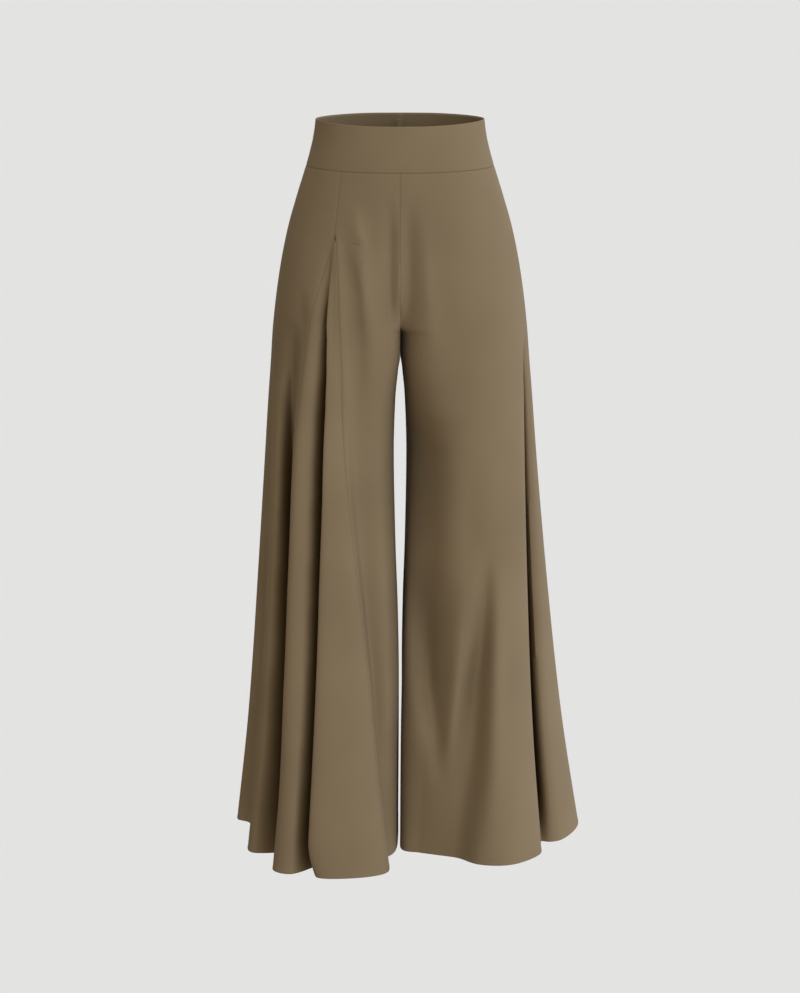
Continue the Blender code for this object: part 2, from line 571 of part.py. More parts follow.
def zip_slider(finish, parent):
    """The body behind the tape, with a neck through the notch and a loop outside the band."""
    bm = bmesh.new()
    bmesh.ops.create_cube(bm, size=1.0)
    for vert in bm.verts:
        vert.co = Vector([pair[vert.co[i] > 0] for i, pair in enumerate(SLIDER_BODY)])
    corners = [e for e in bm.edges if abs(e.verts[0].co.y - e.verts[1].co.y) > SAME_POINT]
    bmesh.ops.bevel(
        bm, geom=corners, offset=SLIDER_ROUNDING, segments=3, profile=0.5, material=-1, affect="EDGES",
    )
    body = object_from("zip_slider", bm, finish, parent)

    def outermost(edge):
        one, other = (vert.co for vert in edge.verts)
        corner = one.y > LOOP_OUT[-1] - SAME_POINT and not LOOP_UP[1] <= one.z <= LOOP_UP[2]
        return corner and abs(one.x - other.x) > NECK_HALF_WIDTH

    loop = flat_ring(
        "slider_loop", LOOP_OUT, LOOP_UP, lambda out, up, x: (x, out, up), 2 * NECK_HALF_WIDTH, (1, 1),
        outermost, LOOP_ROUNDING, finish, parent,
    )
    loop.hide_render = True
    loop.display_type = "WIRE"
    joined = body.modifiers.new("Loop", "BOOLEAN")
    joined.operation = "UNION"
    joined.object = loop
    for piece in (body, loop):
        piece.matrix_world = slider_frame()


def zip_pull(finish, parent):
    """The pull tab, with its origin on the pin that turns in the slider's loop."""

    def at_the_end(edge):
        one, other = (vert.co for vert in edge.verts)
        corner = one.z < PULL_DOWN[-1] + SAME_POINT and abs(one.x) > PULL_ACROSS[2] + SAME_POINT
        return corner and abs(one.y - other.y) > SAME_POINT

    pull = flat_ring(
        "zip_pull", PULL_DOWN, PULL_ACROSS, lambda down, x, out: (x, out, down), PULL_WALL, (1, 1),
        at_the_end, PULL_ROUNDING, finish, parent,
    )
    pull.matrix_world = slider_frame() @ Matrix.Translation(PULL_PIN)


# ================================================================ the garment
def build():
    for old in list(bpy.data.objects):
        bpy.data.objects.remove(old, do_unlink=True)
    root = bpy.data.objects.new("palazzo_pants", None)
    bpy.context.scene.collection.objects.link(root)
    cloth = material("olive_crepe", OLIVE, 0.85)
    band_cloth = material("olive_band", OLIVE, 0.8)
    tape = material("zip_tape", ZIP_OLIVE, 0.9)
    metal = material("zip_enamel", ZIP_OLIVE, 0.4, 0.3)
    waistband(band_cloth, root)
    leg(RIGHT_FOLDS, RIGHT_PANELS, -1, cloth, root)
    leg(LEFT_FOLDS, LEFT_PANELS, 1, cloth, root)
    zip_tape(tape, root)
    zip_slider(metal, root)
    zip_pull(metal, root)


build()
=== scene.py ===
"""Palazzo pants, dressed: crepe panels with rolled, stitched hems, and the zip's tapes, coil and slider.

In metres: +Z up, -Y the wearer's front, +X the wearer's left, the origin mid waist opening.
"""
import math
from collections import namedtuple

import bmesh
import bpy
import numpy as np
from mathutils import Matrix, Vector


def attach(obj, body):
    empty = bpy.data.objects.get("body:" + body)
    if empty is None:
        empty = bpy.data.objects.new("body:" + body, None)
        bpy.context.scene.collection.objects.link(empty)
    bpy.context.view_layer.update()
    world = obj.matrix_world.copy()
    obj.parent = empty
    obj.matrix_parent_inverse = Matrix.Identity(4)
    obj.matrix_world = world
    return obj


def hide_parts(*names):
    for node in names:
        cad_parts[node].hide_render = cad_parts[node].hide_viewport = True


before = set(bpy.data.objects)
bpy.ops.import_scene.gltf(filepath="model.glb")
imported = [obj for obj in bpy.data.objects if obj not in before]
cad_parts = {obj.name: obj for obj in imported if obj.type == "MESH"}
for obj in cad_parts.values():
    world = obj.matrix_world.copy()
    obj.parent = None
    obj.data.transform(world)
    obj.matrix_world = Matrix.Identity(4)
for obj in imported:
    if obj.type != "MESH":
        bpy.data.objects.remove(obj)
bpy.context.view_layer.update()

# ---------------------------------------------------------------- the cut
RIGHT, LEFT = -1, 1                        # the wearer's legs: the sign that x has on each
HEM_Z = -1.065
BAND_WALL = 0.0020                         # two layers of cloth and their stiffening
CLOTH_WALL = 0.0010
SEAM_GAP = 0.0003
BODY_DEPTH = 0.095                         # from the middle of the waist to its front or back
TOP_FRONT_DIP = 0.006
TOP_BACK_RISE = 0.003
BAND_SIDE_Z = -0.0660                      # the waistband's seam at the sides
BAND_SEAM_DIP = 0.0040
BAND_SEAM_RISE = 0.0020
PLEAT_Z = -0.155                           # the godet's point
FORK_Z = -0.270                            # above this the two legs share the middle seams
CROTCH_Z = -0.302                          # below this each leg is a tube of its own
LEGS_TOUCH_Z, LEGS_TOUCH_EASE = -0.262, 0.008  # below this the legs lie against each other
LEGS_PART_Z, LEGS_PART_EASE = -0.352, 0.014    # down to here, where they part
LEGS_MEET = 0.0022                         # how far each leg gives way to the other
LEGS_MEET_REACH = 0.010                    # and how far from the middle it does
SHADELESS_PRESS = 0.05                     # where they press harder, no seam shade is painted
LEG_CLEARANCE = 0.00003
SHARP_DEGREES = 60
SAME_POINT = 1e-7
LEAST_LENGTH = 1e-9
LEAST_NUMBER = 1e-12
LEAST_FOLD_STEP = 1e-5

Section = namedtuple(
    "Section",
    "z side_x side_y front_x front_y back_x back_y inner_x front_seam_y back_seam_y leg "
    "back_corner right_corner left_corner",
)
# leg says how far the two legs have parted, from 0 to 1. The last three say what the inner corners are at
# both backs, at the right front and at the left front: 1 is round, less is square, more is bevelled.
SECTIONS = [
    Section(+0.010, .1210, .002, .000, -.0880, .000, .0880, .0000, -.0880, .0880, 0.00, .55, .55, .55),
    Section(+0.000, .1212, .002, .000, -.0885, .000, .0885, .0000, -.0885, .0885, 0.00, .55, .55, .55),
    Section(-0.024, .1242, .002, .000, -.0910, .000, .0920, .0000, -.0910, .0920, 0.00, .55, .55, .55),
    Section(-0.045, .1290, .002, .000, -.0940, .000, .0960, .0000, -.0940, .0960, 0.00, .55, .55, .55),
    Section(-0.066, .1350, .002, .000, -.0970, .000, .1000, .0000, -.0970, .1000, 0.00, .55, .55, .55),
    Section(-0.109, .1485, .002, .006, -.1020, .004, .1085, .0000, -.1018, .1085, 0.00, .55, .55, .55),
    Section(-0.153, .1612, .003, .022, -.1055, .020, .1150, .0000, -.1045, .1145, 0.00, .55, .55, .55),
    Section(-0.196, .1706, .004, .042, -.1080, .046, .1190, .0000, -.1055, .1170, 0.00, .40, .40, .40),
    Section(-0.240, .1778, .005, .062, -.1095, .066, .1200, .0000, -.1020, .1150, 0.10, .25, .30, .45),
    Section(-0.272, .1820, .006, .075, -.1105, .077, .1195, .0000, -.0920, .1100, 0.50, .20, .28, .52),
    Section(-0.290, .1840, .006, .080, -.1110, .082, .1190, .0000, -.0720, .0990, 0.80, .18, .26, .54),
    Section(-0.302, .1852, .007, .084, -.1115, .084, .1188, .0005, +.0150, .0150, 1.00, .18, .26, .55),
    Section(-0.345, .1885, .008, .091, -.1135, .090, .1185, .0018, +.0150, .0150, 1.00, .34, .30, .60),
    Section(-0.400, .1932, .010, .095, -.1160, .094, .1195, .0066, +.0150, .0150, 1.00, .58, .40, .76),
    Section(-0.485, .1998, .012, .098, -.1200, .098, .1235, .0092, +.0150, .0150, 1.00, .78, .42, 1.40),
    Section(-0.620, .2108, .014, .101, -.1270, .102, .1325, .0070, +.0150, .0150, 1.00, .88, .38, 1.35),
    Section(-0.710, .2185, .015, .104, -.1330, .106, .1400, .0040, +.0150, .0150, 1.00, .90, .38, 1.45),
    Section(-0.802, .2268, .016, .107, -.1390, .110, .1490, .0026, +.0150, .0150, 1.00, .90, .40, 1.25),
    Section(-0.900, .2370, .018, .111, -.1460, .115, .1600, .0026, +.0150, .0150, 1.00, .90, .60, 0.95),
    Section(HEM_Z, .2590, .020, .118, -.1580, .122, .1780, .0030, +.0150, .0150, 1.00, .90, .90, 0.90),
]
OUTER_CORNER = 0.90
ARC_POINTS = 240
INNER_DEPTH_SHARE = 0.03                   # how much of the inner side's depth counts along a section

# A fold line: its place along the section at its start and at the hem, the height at which it starts,
# how fast it grows, its plan place at the hem with x outwards, and how far its corner turns out there.
Fold = namedtuple("Fold", "name along_top along_hem start_z growth hem_x hem_y flick")
RIGHT_FOLDS = [
    Fold("seam_front", 0.000, 0.000, -0.400, 1.00, 0.0030, +0.0150, 0.0),
    Fold("inner_face", 0.012, 0.012, -0.400, 1.20, 0.0032, -0.0480, 0.0),
    Fold("inner_turn", 0.060, 0.050, -0.450, 1.60, 0.0060, -0.1010, 0.0),
    Fold("inner_step", 0.220, 0.160, -0.350, 1.40, 0.0190, -0.1340, 0.0),
    Fold("godet_crease", 0.378, 0.250, PLEAT_Z, 1.12, 0.0185, -0.1980, 0.0),
    Fold("front_face", 0.394, 0.360, PLEAT_Z, 1.10, 0.0700, -0.2220, 0.0),
    Fold("front_edge", 0.414, 0.440, PLEAT_Z, 1.04, 0.1340, -0.2170, -0.014),
    Fold("front_valley", 0.436, 0.460, PLEAT_Z, 0.78, 0.1000, -0.1500, 0.0),
    Fold("middle_crest", 0.492, 0.560, -0.180, 1.05, 0.1580, -0.2045, 0.0),
    Fold("middle_edge", 0.600, 0.630, -0.220, 0.60, 0.1840, -0.1860, 0.0),
    Fold("middle_valley", 0.640, 0.670, -0.240, 0.90, 0.1620, -0.1200, 0.0),
    Fold("outer_crest", 0.800, 0.815, -0.300, 0.60, 0.2170, -0.1120, 0.0),
    Fold("outer_edge", 0.850, 0.845, -0.300, 0.70, 0.2250, -0.0980, 0.0),
    Fold("outer_valley", 0.880, 0.880, -0.300, 0.80, 0.2140, -0.0220, 0.0),
    Fold("side_crest", 0.950, 0.950, -0.300, 1.10, 0.2310, +0.0260, 0.0),
    Fold("side_seam", 1.000, 1.000, -0.300, 1.40, 0.2480, +0.0400, 0.0),
    Fold("back_crest_1", 1.120, 1.120, -0.420, 1.00, 0.2380, +0.0850, 0.0),
    Fold("back_valley_1", 1.240, 1.230, -0.480, 1.00, 0.2090, +0.1220, 0.0),
    Fold("back_crest_2", 1.340, 1.330, -0.400, 1.00, 0.1900, +0.1720, 0.0),
    Fold("back_valley_2", 1.460, 1.460, -0.450, 1.00, 0.1460, +0.1540, 0.0),
    Fold("back_crest_3", 1.600, 1.580, -0.360, 1.00, 0.1050, +0.2040, 0.0),
    Fold("back_valley_3", 1.740, 1.730, -0.520, 1.00, 0.0640, +0.1720, 0.0),
    Fold("back_crest_4", 1.890, 1.870, -0.560, 1.00, 0.0240, +0.1760, 0.0),
    Fold("inner_back", 1.980, 1.980, -0.450, 1.00, 0.0045, +0.1000, 0.0),
    Fold("seam_back", 2.000, 2.000, -0.400, 1.00, 0.0030, +0.0150, 0.0),
]
LEFT_FOLDS = [
    Fold("seam_front", 0.000, 0.000, -0.400, 1.00, 0.0030, +0.0150, 0.0),
    Fold("inner_face", 0.012, 0.012, -0.430, 0.60, 0.0026, -0.0550, 0.0),
    Fold("inner_turn", 0.045, 0.040, -0.430, 0.50, 0.0025, -0.0980, 0.0),
    Fold("inner_flat", 0.150, 0.120, -0.750, 1.00, 0.0280, -0.1120, 0.0),
    Fold("step_back", 0.332, 0.270, -0.450, 0.90, 0.0800, -0.1330, 0.0),
    Fold("step_front", 0.468, 0.395, -0.450, 0.75, 0.1150, -0.1640, 0.0),
    Fold("front_face", 0.600, 0.590, -0.450, 1.00, 0.1720, -0.1590, 0.0),
    Fold("side_edge", 0.785, 0.690, -0.300, 0.62, 0.2070, -0.1160, 0.0),
    Fold("side_valley", 0.825, 0.740, -0.300, 0.36, 0.2110, -0.0720, 0.0),
    Fold("side_crest", 0.880, 0.850, -0.260, 1.00, 0.2400, -0.0560, 0.0),
    Fold("side_seam", 1.000, 1.000, -0.300, 1.90, 0.2715, +0.0240, 0.0),
    Fold("back_crest_1", 1.120, 1.120, -0.430, 1.50, 0.2540, +0.0900, 0.0),
    Fold("back_valley_1", 1.240, 1.230, -0.470, 1.00, 0.2170, +0.1240, 0.0),
    Fold("back_crest_2", 1.350, 1.340, -0.400, 1.00, 0.1960, +0.1750, 0.0),
    Fold("back_valley_2", 1.470, 1.470, -0.500, 1.00, 0.1440, +0.1580, 0.0),
    Fold("back_crest_3", 1.610, 1.600, -0.380, 1.00, 0.1010, +0.2020, 0.0),
    Fold("back_valley_3", 1.750, 1.740, -0.540, 1.00, 0.0600, +0.1740, 0.0),
    Fold("back_crest_4", 1.890, 1.870, -0.580, 1.00, 0.0260, +0.1740, 0.0),
    Fold("inner_back", 1.980, 1.980, -0.450, 1.00, 0.0045, +0.1000, 0.0),
    Fold("seam_back", 2.000, 2.000, -0.400, 1.00, 0.0030, +0.0150, 0.0),
]

FOLD_EASE = 0.06                           # the share of its fall in which a fold starts softly
FLICK_HEIGHT = 0.055                       # its corner starts to turn this far above the hem

# How far out of their smooth course two of the right leg's edges hang: height, x outwards.
FOLD_SHIFTS = {
    "front_edge": (
        (-0.80, 0.0), (-0.67, -0.0020), (-0.53, -0.0058), (-0.40, -0.0062), (-0.33, -0.0020), (-0.28, 0.0),
    ),
    "middle_edge": (
        (-0.96, 0.0), (-0.81, 0.0040), (-0.67, 0.0040), (-0.53, 0.0020), (-0.46, 0.0),
        (-0.39, -0.0040), (-0.33, -0.0070), (-0.275, -0.0080), (-0.23, 0.0),
    ),
}

SeamPoint = namedtuple("SeamPoint", "z fold")
GODET_OUTER_SEAM = [
    SeamPoint(-0.070, 7.29),
    SeamPoint(-0.107, 7.10),
    SeamPoint(PLEAT_Z, 6.40),
    SeamPoint(-0.198, 7.40),
    SeamPoint(-0.246, 8.00),
    SeamPoint(-0.290, 8.50),
    SeamPoint(-0.350, 9.00),
    SeamPoint(HEM_Z, 9.00),
]
GODET_INNER_SEAM = [
    SeamPoint(-0.070, 7.29),
    SeamPoint(-0.107, 7.10),
    SeamPoint(PLEAT_Z, 6.40),
    SeamPoint(-0.170, 5.30),
    SeamPoint(-0.200, 4.30),
    SeamPoint(-0.240, 4.00),
    SeamPoint(HEM_Z, 4.00),
]

# ---------------------------------------------------------------- soft drapes laid over the cut
# A ridge, or a trough where it goes back, down one leg between two fold numbers. Each row has a height,
# the crest's place, half its width and how far forward it stands. A place by "x" is in metres from the
# middle of the body, and one by "fold" is a fold number.
DrapeRow = namedtuple("DrapeRow", "z place width forward")
Drape = namedtuple("Drape", "name leg by first last rows")
DRAPES = [
    Drape("right_belly_ridge", RIGHT, "x", 0, 5, [
        DrapeRow(-0.112, 0.064, 0.011, 0.0000),
        DrapeRow(-0.170, 0.0585, 0.012, 0.0070),
        DrapeRow(-0.247, 0.0475, 0.012, 0.0088),
        DrapeRow(-0.330, 0.041, 0.013, 0.0048),
        DrapeRow(-0.440, 0.038, 0.012, 0.0000),
    ]),
    Drape("right_seam_ridge", RIGHT, "x", 0, 5.9, [
        DrapeRow(-0.150, 0.088, 0.008, 0.0000),
        DrapeRow(-0.190, 0.087, 0.008, 0.0030),
        DrapeRow(-0.260, 0.084, 0.008, 0.0030),
        DrapeRow(-0.330, 0.080, 0.007, 0.0020),
        DrapeRow(-0.390, 0.0765, 0.006, 0.0024),
        DrapeRow(-0.461, 0.0738, 0.006, 0.0024),
        DrapeRow(-0.529, 0.0698, 0.006, 0.0014),
        DrapeRow(-0.590, 0.064, 0.006, 0.0000),
    ]),
    Drape("right_fly_trough", RIGHT, "x", 0, 5, [
        DrapeRow(-0.105, 0.0145, 0.008, 0.0000),
        DrapeRow(-0.170, 0.0145, 0.008, -0.0048),
        DrapeRow(-0.250, 0.0145, 0.008, -0.0058),
        DrapeRow(-0.300, 0.0145, 0.008, 0.0000),
    ]),
    Drape("right_front_slot", RIGHT, "fold", 6.3, 7.7, [
        DrapeRow(-0.170, 7.0, 0.45, 0.000),
        DrapeRow(-0.260, 7.0, 0.40, -0.003),
        DrapeRow(-0.400, 7.0, 0.38, -0.012),
        DrapeRow(-0.750, 7.0, 0.38, -0.026),
        DrapeRow(-0.950, 7.0, 0.38, -0.022),
        DrapeRow(HEM_Z, 7.0, 0.40, -0.004),
    ]),
    Drape("right_side_slot", RIGHT, "fold", 9.2, 11.3, [
        DrapeRow(-0.280, 9.9, 0.42, 0.000),
        DrapeRow(-0.330, 9.9, 0.42, -0.010),
        DrapeRow(-0.450, 9.9, 0.45, -0.026),
        DrapeRow(-0.750, 9.9, 0.40, -0.040),
        DrapeRow(-0.950, 9.9, 0.40, -0.036),
        DrapeRow(HEM_Z, 9.9, 0.42, -0.012),
    ]),
    Drape("left_fly_trough", LEFT, "x", 0, 5, [
        DrapeRow(-0.105, 0.0135, 0.009, 0.0000),
        DrapeRow(-0.170, 0.0135, 0.009, -0.0044),
        DrapeRow(-0.240, 0.0130, 0.009, -0.0050),
        DrapeRow(-0.285, 0.0080, 0.012, -0.0064),
        DrapeRow(-0.330, 0.0060, 0.012, -0.0030),
        DrapeRow(-0.370, 0.0060, 0.012, 0.0000),
    ]),
    Drape("left_belly_ridge", LEFT, "x", 0, 5, [
        DrapeRow(-0.130, 0.036, 0.011, 0.0000),
        DrapeRow(-0.190, 0.036, 0.011, 0.0024),
        DrapeRow(-0.260, 0.040, 0.013, 0.0030),
        DrapeRow(-0.340, 0.048, 0.016, 0.0000),
    ]),
    Drape("left_inner_billow", LEFT, "x", 0, 4, [
        DrapeRow(-0.540, 0.004, 0.018, 0.000),
        DrapeRow(-0.640, 0.005, 0.018, 0.010),
        DrapeRow(-0.750, 0.006, 0.020, 0.016),
        DrapeRow(-0.820, 0.010, 0.023, 0.014),
        DrapeRow(-0.900, 0.018, 0.028, 0.004),
        DrapeRow(-0.970, 0.030, 0.030, 0.000),
    ]),
    Drape("left_v_trough", LEFT, "x", 0, 6, [
        DrapeRow(-0.640, 0.026, 0.018, 0.000),
        DrapeRow(-0.710, 0.032, 0.016, -0.008),
        DrapeRow(-0.790, 0.040, 0.015, -0.014),
        DrapeRow(-0.860, 0.050, 0.013, -0.012),
        DrapeRow(-0.930, 0.056, 0.012, -0.003),
        DrapeRow(-0.970, 0.058, 0.012, 0.000),
    ]),
    Drape("left_v_ridge", LEFT, "x", 0, 6, [
        DrapeRow(-0.570, 0.098, 0.020, 0.000),
        DrapeRow(-0.660, 0.092, 0.018, 0.006),
        DrapeRow(-0.730, 0.086, 0.016, 0.010),
        DrapeRow(-0.800, 0.081, 0.014, 0.012),
        DrapeRow(-0.870, 0.074, 0.013, 0.009),
        DrapeRow(-0.940, 0.066, 0.012, 0.000),
    ]),
    Drape("left_step_trough", LEFT, "x", 3, 6.5, [
        DrapeRow(-0.600, 0.124, 0.012, 0.000),
        DrapeRow(-0.680, 0.122, 0.012, -0.008),
        DrapeRow(-0.740, 0.118, 0.012, -0.014),
        DrapeRow(-0.800, 0.112, 0.013, -0.017),
        DrapeRow(-0.900, 0.106, 0.014, -0.015),
        DrapeRow(-1.000, 0.098, 0.016, -0.007),
        DrapeRow(HEM_Z, 0.090, 0.016, 0.000),
    ]),
    Drape("left_step_ridge", LEFT, "x", 3, 6.9, [
        DrapeRow(-0.620, 0.140, 0.014, 0.000),
        DrapeRow(-0.680, 0.140, 0.014, 0.005),
        DrapeRow(-0.740, 0.139, 0.014, 0.010),
        DrapeRow(-0.800, 0.138, 0.015, 0.012),
        DrapeRow(-0.900, 0.136, 0.016, 0.010),
        DrapeRow(-1.000, 0.130, 0.017, 0.004),
        DrapeRow(HEM_Z, 0.126, 0.017, 0.000),
    ]),
    Drape("left_side_slot", LEFT, "fold", 7.1, 8.9, [
        DrapeRow(-0.300, 8.0, 0.24, 0.000),
        DrapeRow(-0.380, 8.0, 0.24, -0.008),
        DrapeRow(-0.480, 8.0, 0.24, -0.024),
        DrapeRow(-0.750, 8.0, 0.26, -0.036),
        DrapeRow(-0.950, 8.0, 0.26, -0.032),
        DrapeRow(HEM_Z, 8.0, 0.26, -0.010),
    ]),
]
MIDDLE_HOLD = 0.003                        # a drape fades out this near the middle seam

# ---------------------------------------------------------------- sewing
SEAM_DIP, SEAM_WIDTH = 0.00022, 0.0035     # the soft valley along a seam
SEAM_ROLL, SEAM_EDGE = 0.00030, 0.0005     # the cloth's edge turning into it
SEAM_SHADE, SEAM_SHADE_WIDTH = 0.40, 0.0006  # how much shade is painted into its colour
HEM_TURN, HEM_TURN_EASE = 0.0060, 0.0012   # the rolled hem's height
HEM_PLY = 0.00035                          # how far its plies stand out
HEM_STITCH = 0.0042                        # the stitches lie this far above the edge
HEM_GROOVE, HEM_GROOVE_WIDTH = 0.00025, 0.0005
HEM_ROUND, HEM_ROUND_HEIGHT = 0.0005, 0.0007
STITCH_STEP, STITCH_LENGTH = 0.0027, 0.0020
THREAD = 0.00030                           # its thickness
THREAD_RISE = 0.1                          # the share of it by which the stitches stand proud

# ---------------------------------------------------------------- rows and columns of the cloth
CLOTH_PER_COLUMN, FEWEST_COLUMNS = 0.0042, 3   # between two fold lines at the hem
EDGE_COLUMNS = (0.08, 0.20, 0.40, 0.65)    # extra columns beside a seam, as shares of the gap there
TOP_ROWS = (0.0, 0.03, 0.07, 0.13, 0.21, 0.32, 0.47, 0.65, 0.83)
FIRST_LEVEL = -0.090
LEVEL_STEP = 0.0072
PLAN_STEP = 0.002                          # between the level plans from which slanting rows are taken
PLEAT_ROWS = (PLEAT_Z, -0.1558, -0.1570, -0.1590, -0.1620, -0.1660, -0.1710, -0.1770, -0.1840)
FORK_ROWS = (
    -0.2750, -0.2810, -0.2860, -0.2900, -0.2930, -0.2955, -0.2975, -0.2990, -0.3003, -0.3012,
    CROTCH_Z, -0.3040, -0.3080, -0.3140, -0.3220,
)
HEM_ROWS = (0.0090, 0.0070, 0.0060, 0.0051, 0.0046, 0.0042, 0.0038, 0.0030, 0.0018, 0.0008, 0.0002, 0.0)


# ================================================================ the surface
def eased(t):
    return t * t * (3 - 2 * t)


def bell(distance, width):
    """1 at no distance, and soon 0 past the width."""
    return np.exp(-((distance / width) ** 2))


def between(rows, at):
    """The value of a table of pairs at a place between them."""
    return np.interp(at, *zip(*rows))


def along_rows(rows, z):
    """The columns of a table at height z, on a smooth curve that never overshoots a row."""
    table = np.array(rows, float)
    heights, values = table[:, 0], table[:, 1:]
    last = len(heights) - 1
    row = int(np.clip(np.searchsorted(-heights, -z) - 1, 0, last - 1))

    def slope(i):
        if i in (0, last):
            j = min(i, last - 1)
            return (values[j + 1] - values[j]) / (heights[j] - heights[j + 1])
        above, below = heights[i - 1] - heights[i], heights[i] - heights[i + 1]
        rise, fall = (values[i] - values[i - 1]) / above, (values[i + 1] - values[i]) / below
        same_way = rise * fall > 0
        weight_rise, weight_fall = 2 * below + above, below + 2 * above
        rise, fall = np.where(same_way, rise, 1.0), np.where(same_way, fall, 1.0)
        mean = (weight_rise + weight_fall) / (weight_rise / rise + weight_fall / fall)
        return np.where(same_way, mean, 0.0)

    step = heights[row] - heights[row + 1]
    t = float(np.clip((heights[row] - z) / step, 0, 1))
    start, end = values[row], values[row + 1]
    return (
        start
        + (end - start) * eased(t)
        + slope(row) * step * (t * (1 - t) ** 2)
        - slope(row + 1) * step * (t * t * (1 - t))
    )


def inner_arc(inner, crest, leg, corner):
    """From the inner line to the foremost or rearmost point: a hollow on the belly, a turn on a leg."""
    t = np.linspace(0, 1, ARC_POINTS)
    wide, deep = crest[0] - inner[0], crest[1] - inner[1]
    hollow = np.column_stack([inner[0] + wide * t, inner[1] + deep * (1 - np.cos(math.pi * t)) / 2])
    turn = t * math.pi / 2
    power = min(corner, 1) + max(corner - 1, 0) * (1 - eased(t) ** 2)
    cos, sin = np.clip(np.cos(turn), 0, 1) ** power, np.sin(turn) ** power
    round_leg = np.column_stack([crest[0] - wide * cos, inner[1] + deep * sin])
    return hollow * (1 - leg) + round_leg * leg


def outer_arc(crest, side):
    """From the foremost or rearmost point out to the side seam."""
    turn = np.linspace(0, math.pi / 2, ARC_POINTS)
    cos = np.clip(np.cos(turn), 0, 1) ** OUTER_CORNER
    sin = np.sin(turn) ** OUTER_CORNER
    wide, deep = side[0] - crest[0], crest[1] - side[1]
    return np.column_stack([crest[0] + wide * sin, side[1] + deep * cos])


def smooth_section(z, leg_side=LEFT):
    """The front and back halves of one leg's plan section, each with its lengths and points."""
    row = Section(z, *along_rows(SECTIONS, z))
    side = (row.side_x, row.side_y)
    front_crest, back_crest = (row.front_x, row.front_y), (row.back_x, row.back_y)
    front_corner = row.left_corner if leg_side == LEFT else row.right_corner
    front_inner = inner_arc((row.inner_x, row.front_seam_y), front_crest, row.leg, front_corner)
    back_inner = inner_arc((row.inner_x, row.back_seam_y), back_crest, row.leg, row.back_corner)
    front = np.vstack([front_inner[:-1], outer_arc(front_crest, side)])
    back = np.vstack([outer_arc(back_crest, side)[::-1], back_inner[::-1][1:]])
    halves = []
    for line, inner in ((front, slice(0, ARC_POINTS - 1)), (back, slice(1 - ARC_POINTS, None))):
        dx, dy = np.diff(line, axis=0).T
        share = np.ones(len(dx))
        share[inner] = INNER_DEPTH_SHARE
        lengths = np.concatenate([[0], np.cumsum(np.hypot(dx, dy * share) + LEAST_LENGTH)])
        halves.append((lengths / lengths[-1], line))
    return halves


def on_section(halves, along):
    """Points at places along a section: 0 to 1 on its front half and 1 to 2 on its back half."""
    points = np.empty((len(along), 2))
    for half, (lengths, line) in enumerate(halves):
        use = (along <= 1) if half == 0 else (along > 1)
        for axis in (0, 1):
            points[use, axis] = np.interp(along[use] - half, lengths, line[:, axis])
    return points


def on_plans(plans, top_z, z):
    """Points at each column's own height z, between level plans that go down from top_z."""
    place = (top_z - z) / PLAN_STEP
    k = place.astype(int)
    t = (place - k)[:, None]
    column = np.arange(len(z))
    return plans[k, column] * (1 - t) + plans[k + 1, column] * t


HEM_SECTIONS = {side: smooth_section(HEM_Z, side) for side in (RIGHT, LEFT)}


def fold_places(folds, z, leg_side):
    """Where each fold line lies along the section at height z, and how far it stands off it."""
    along, off = np.empty(len(folds)), np.empty((len(folds), 2))
    for i, fold in enumerate(folds):
        t = float(np.clip((fold.start_z - z) / (fold.start_z - HEM_Z), 0, 1))
        along[i] = fold.along_top + (fold.along_hem - fold.along_top) * t
        growth = t**fold.growth * t / (t + FOLD_EASE) * (1 + FOLD_EASE)
        hem = on_section(HEM_SECTIONS[leg_side], np.array([fold.along_hem]))[0]
        near_hem = float(np.clip((HEM_Z + FLICK_HEIGHT - z) / FLICK_HEIGHT, 0, 1))
        off[i] = growth * (np.array([fold.hem_x, fold.hem_y]) - hem)
        off[i, 0] += fold.flick * near_hem**2
        if fold.name in FOLD_SHIFTS:
            off[i, 0] += between(FOLD_SHIFTS[fold.name], z)
    return along, off


def leg_row(folds, numbers, z, leg_side):
    """Plan points of a leg at height z for fold numbers, on one smooth curve through the fold lines."""
    halves = smooth_section(z, leg_side)
    along, off = fold_places(folds, z, leg_side)
    places = on_section(halves, along) + off
    steps = np.sqrt(np.maximum(np.hypot(*np.diff(places, axis=0).T), LEAST_FOLD_STEP))
    t = np.concatenate([[0], np.cumsum(steps)])
    values = np.column_stack([along, off])
    slopes = np.diff(values, axis=0) / steps[:, None]
    before, after = steps[:-1, None], steps[1:, None]
    middle = (slopes[:-1] * after + slopes[1:] * before) / (before + after)
    tangents = np.vstack([slopes[0], middle, slopes[-1]])
    low = np.minimum(np.append(slopes[0, 0], slopes[:, 0]), np.append(slopes[:, 0], slopes[-1, 0]))
    tangents[:, 0] = np.clip(tangents[:, 0], 0, np.maximum(3 * low, 0))
    x = np.interp(numbers, np.arange(len(folds)), t)
    k = np.clip(np.searchsorted(t, x, side="right") - 1, 0, len(t) - 2)
    span = (t[k + 1] - t[k])[:, None]
    u = (x - t[k])[:, None] / span
    curve = (
        values[k]
        + (values[k + 1] - values[k]) * eased(u)
        + tangents[k] * span * u * (1 - u) ** 2
        - tangents[k + 1] * span * u * u * (1 - u)
    )
    return on_section(halves, np.clip(curve[:, 0], 0, 2)) + curve[:, 1:]


def edge_height(side, front_dip, back_rise, y):
    """A level edge round the body that dips towards the front and rises towards the back."""
    toward = np.clip(y / BODY_DEPTH, -1, 1)
    return side + np.where(toward < 0, -front_dip * toward**2, back_rise * toward**2)


def band_top(y):
    return edge_height(0.0, TOP_FRONT_DIP, TOP_BACK_RISE, y)


def band_bottom(y):
    return edge_height(BAND_SIDE_Z, BAND_SEAM_DIP, BAND_SEAM_RISE, y)


def seam_fold(seam, z):
    """The fold number at which a seam lies at height z."""
    rows = sorted(seam)
    return float(np.interp(z, [row.z for row in rows], [row.fold for row in rows]))


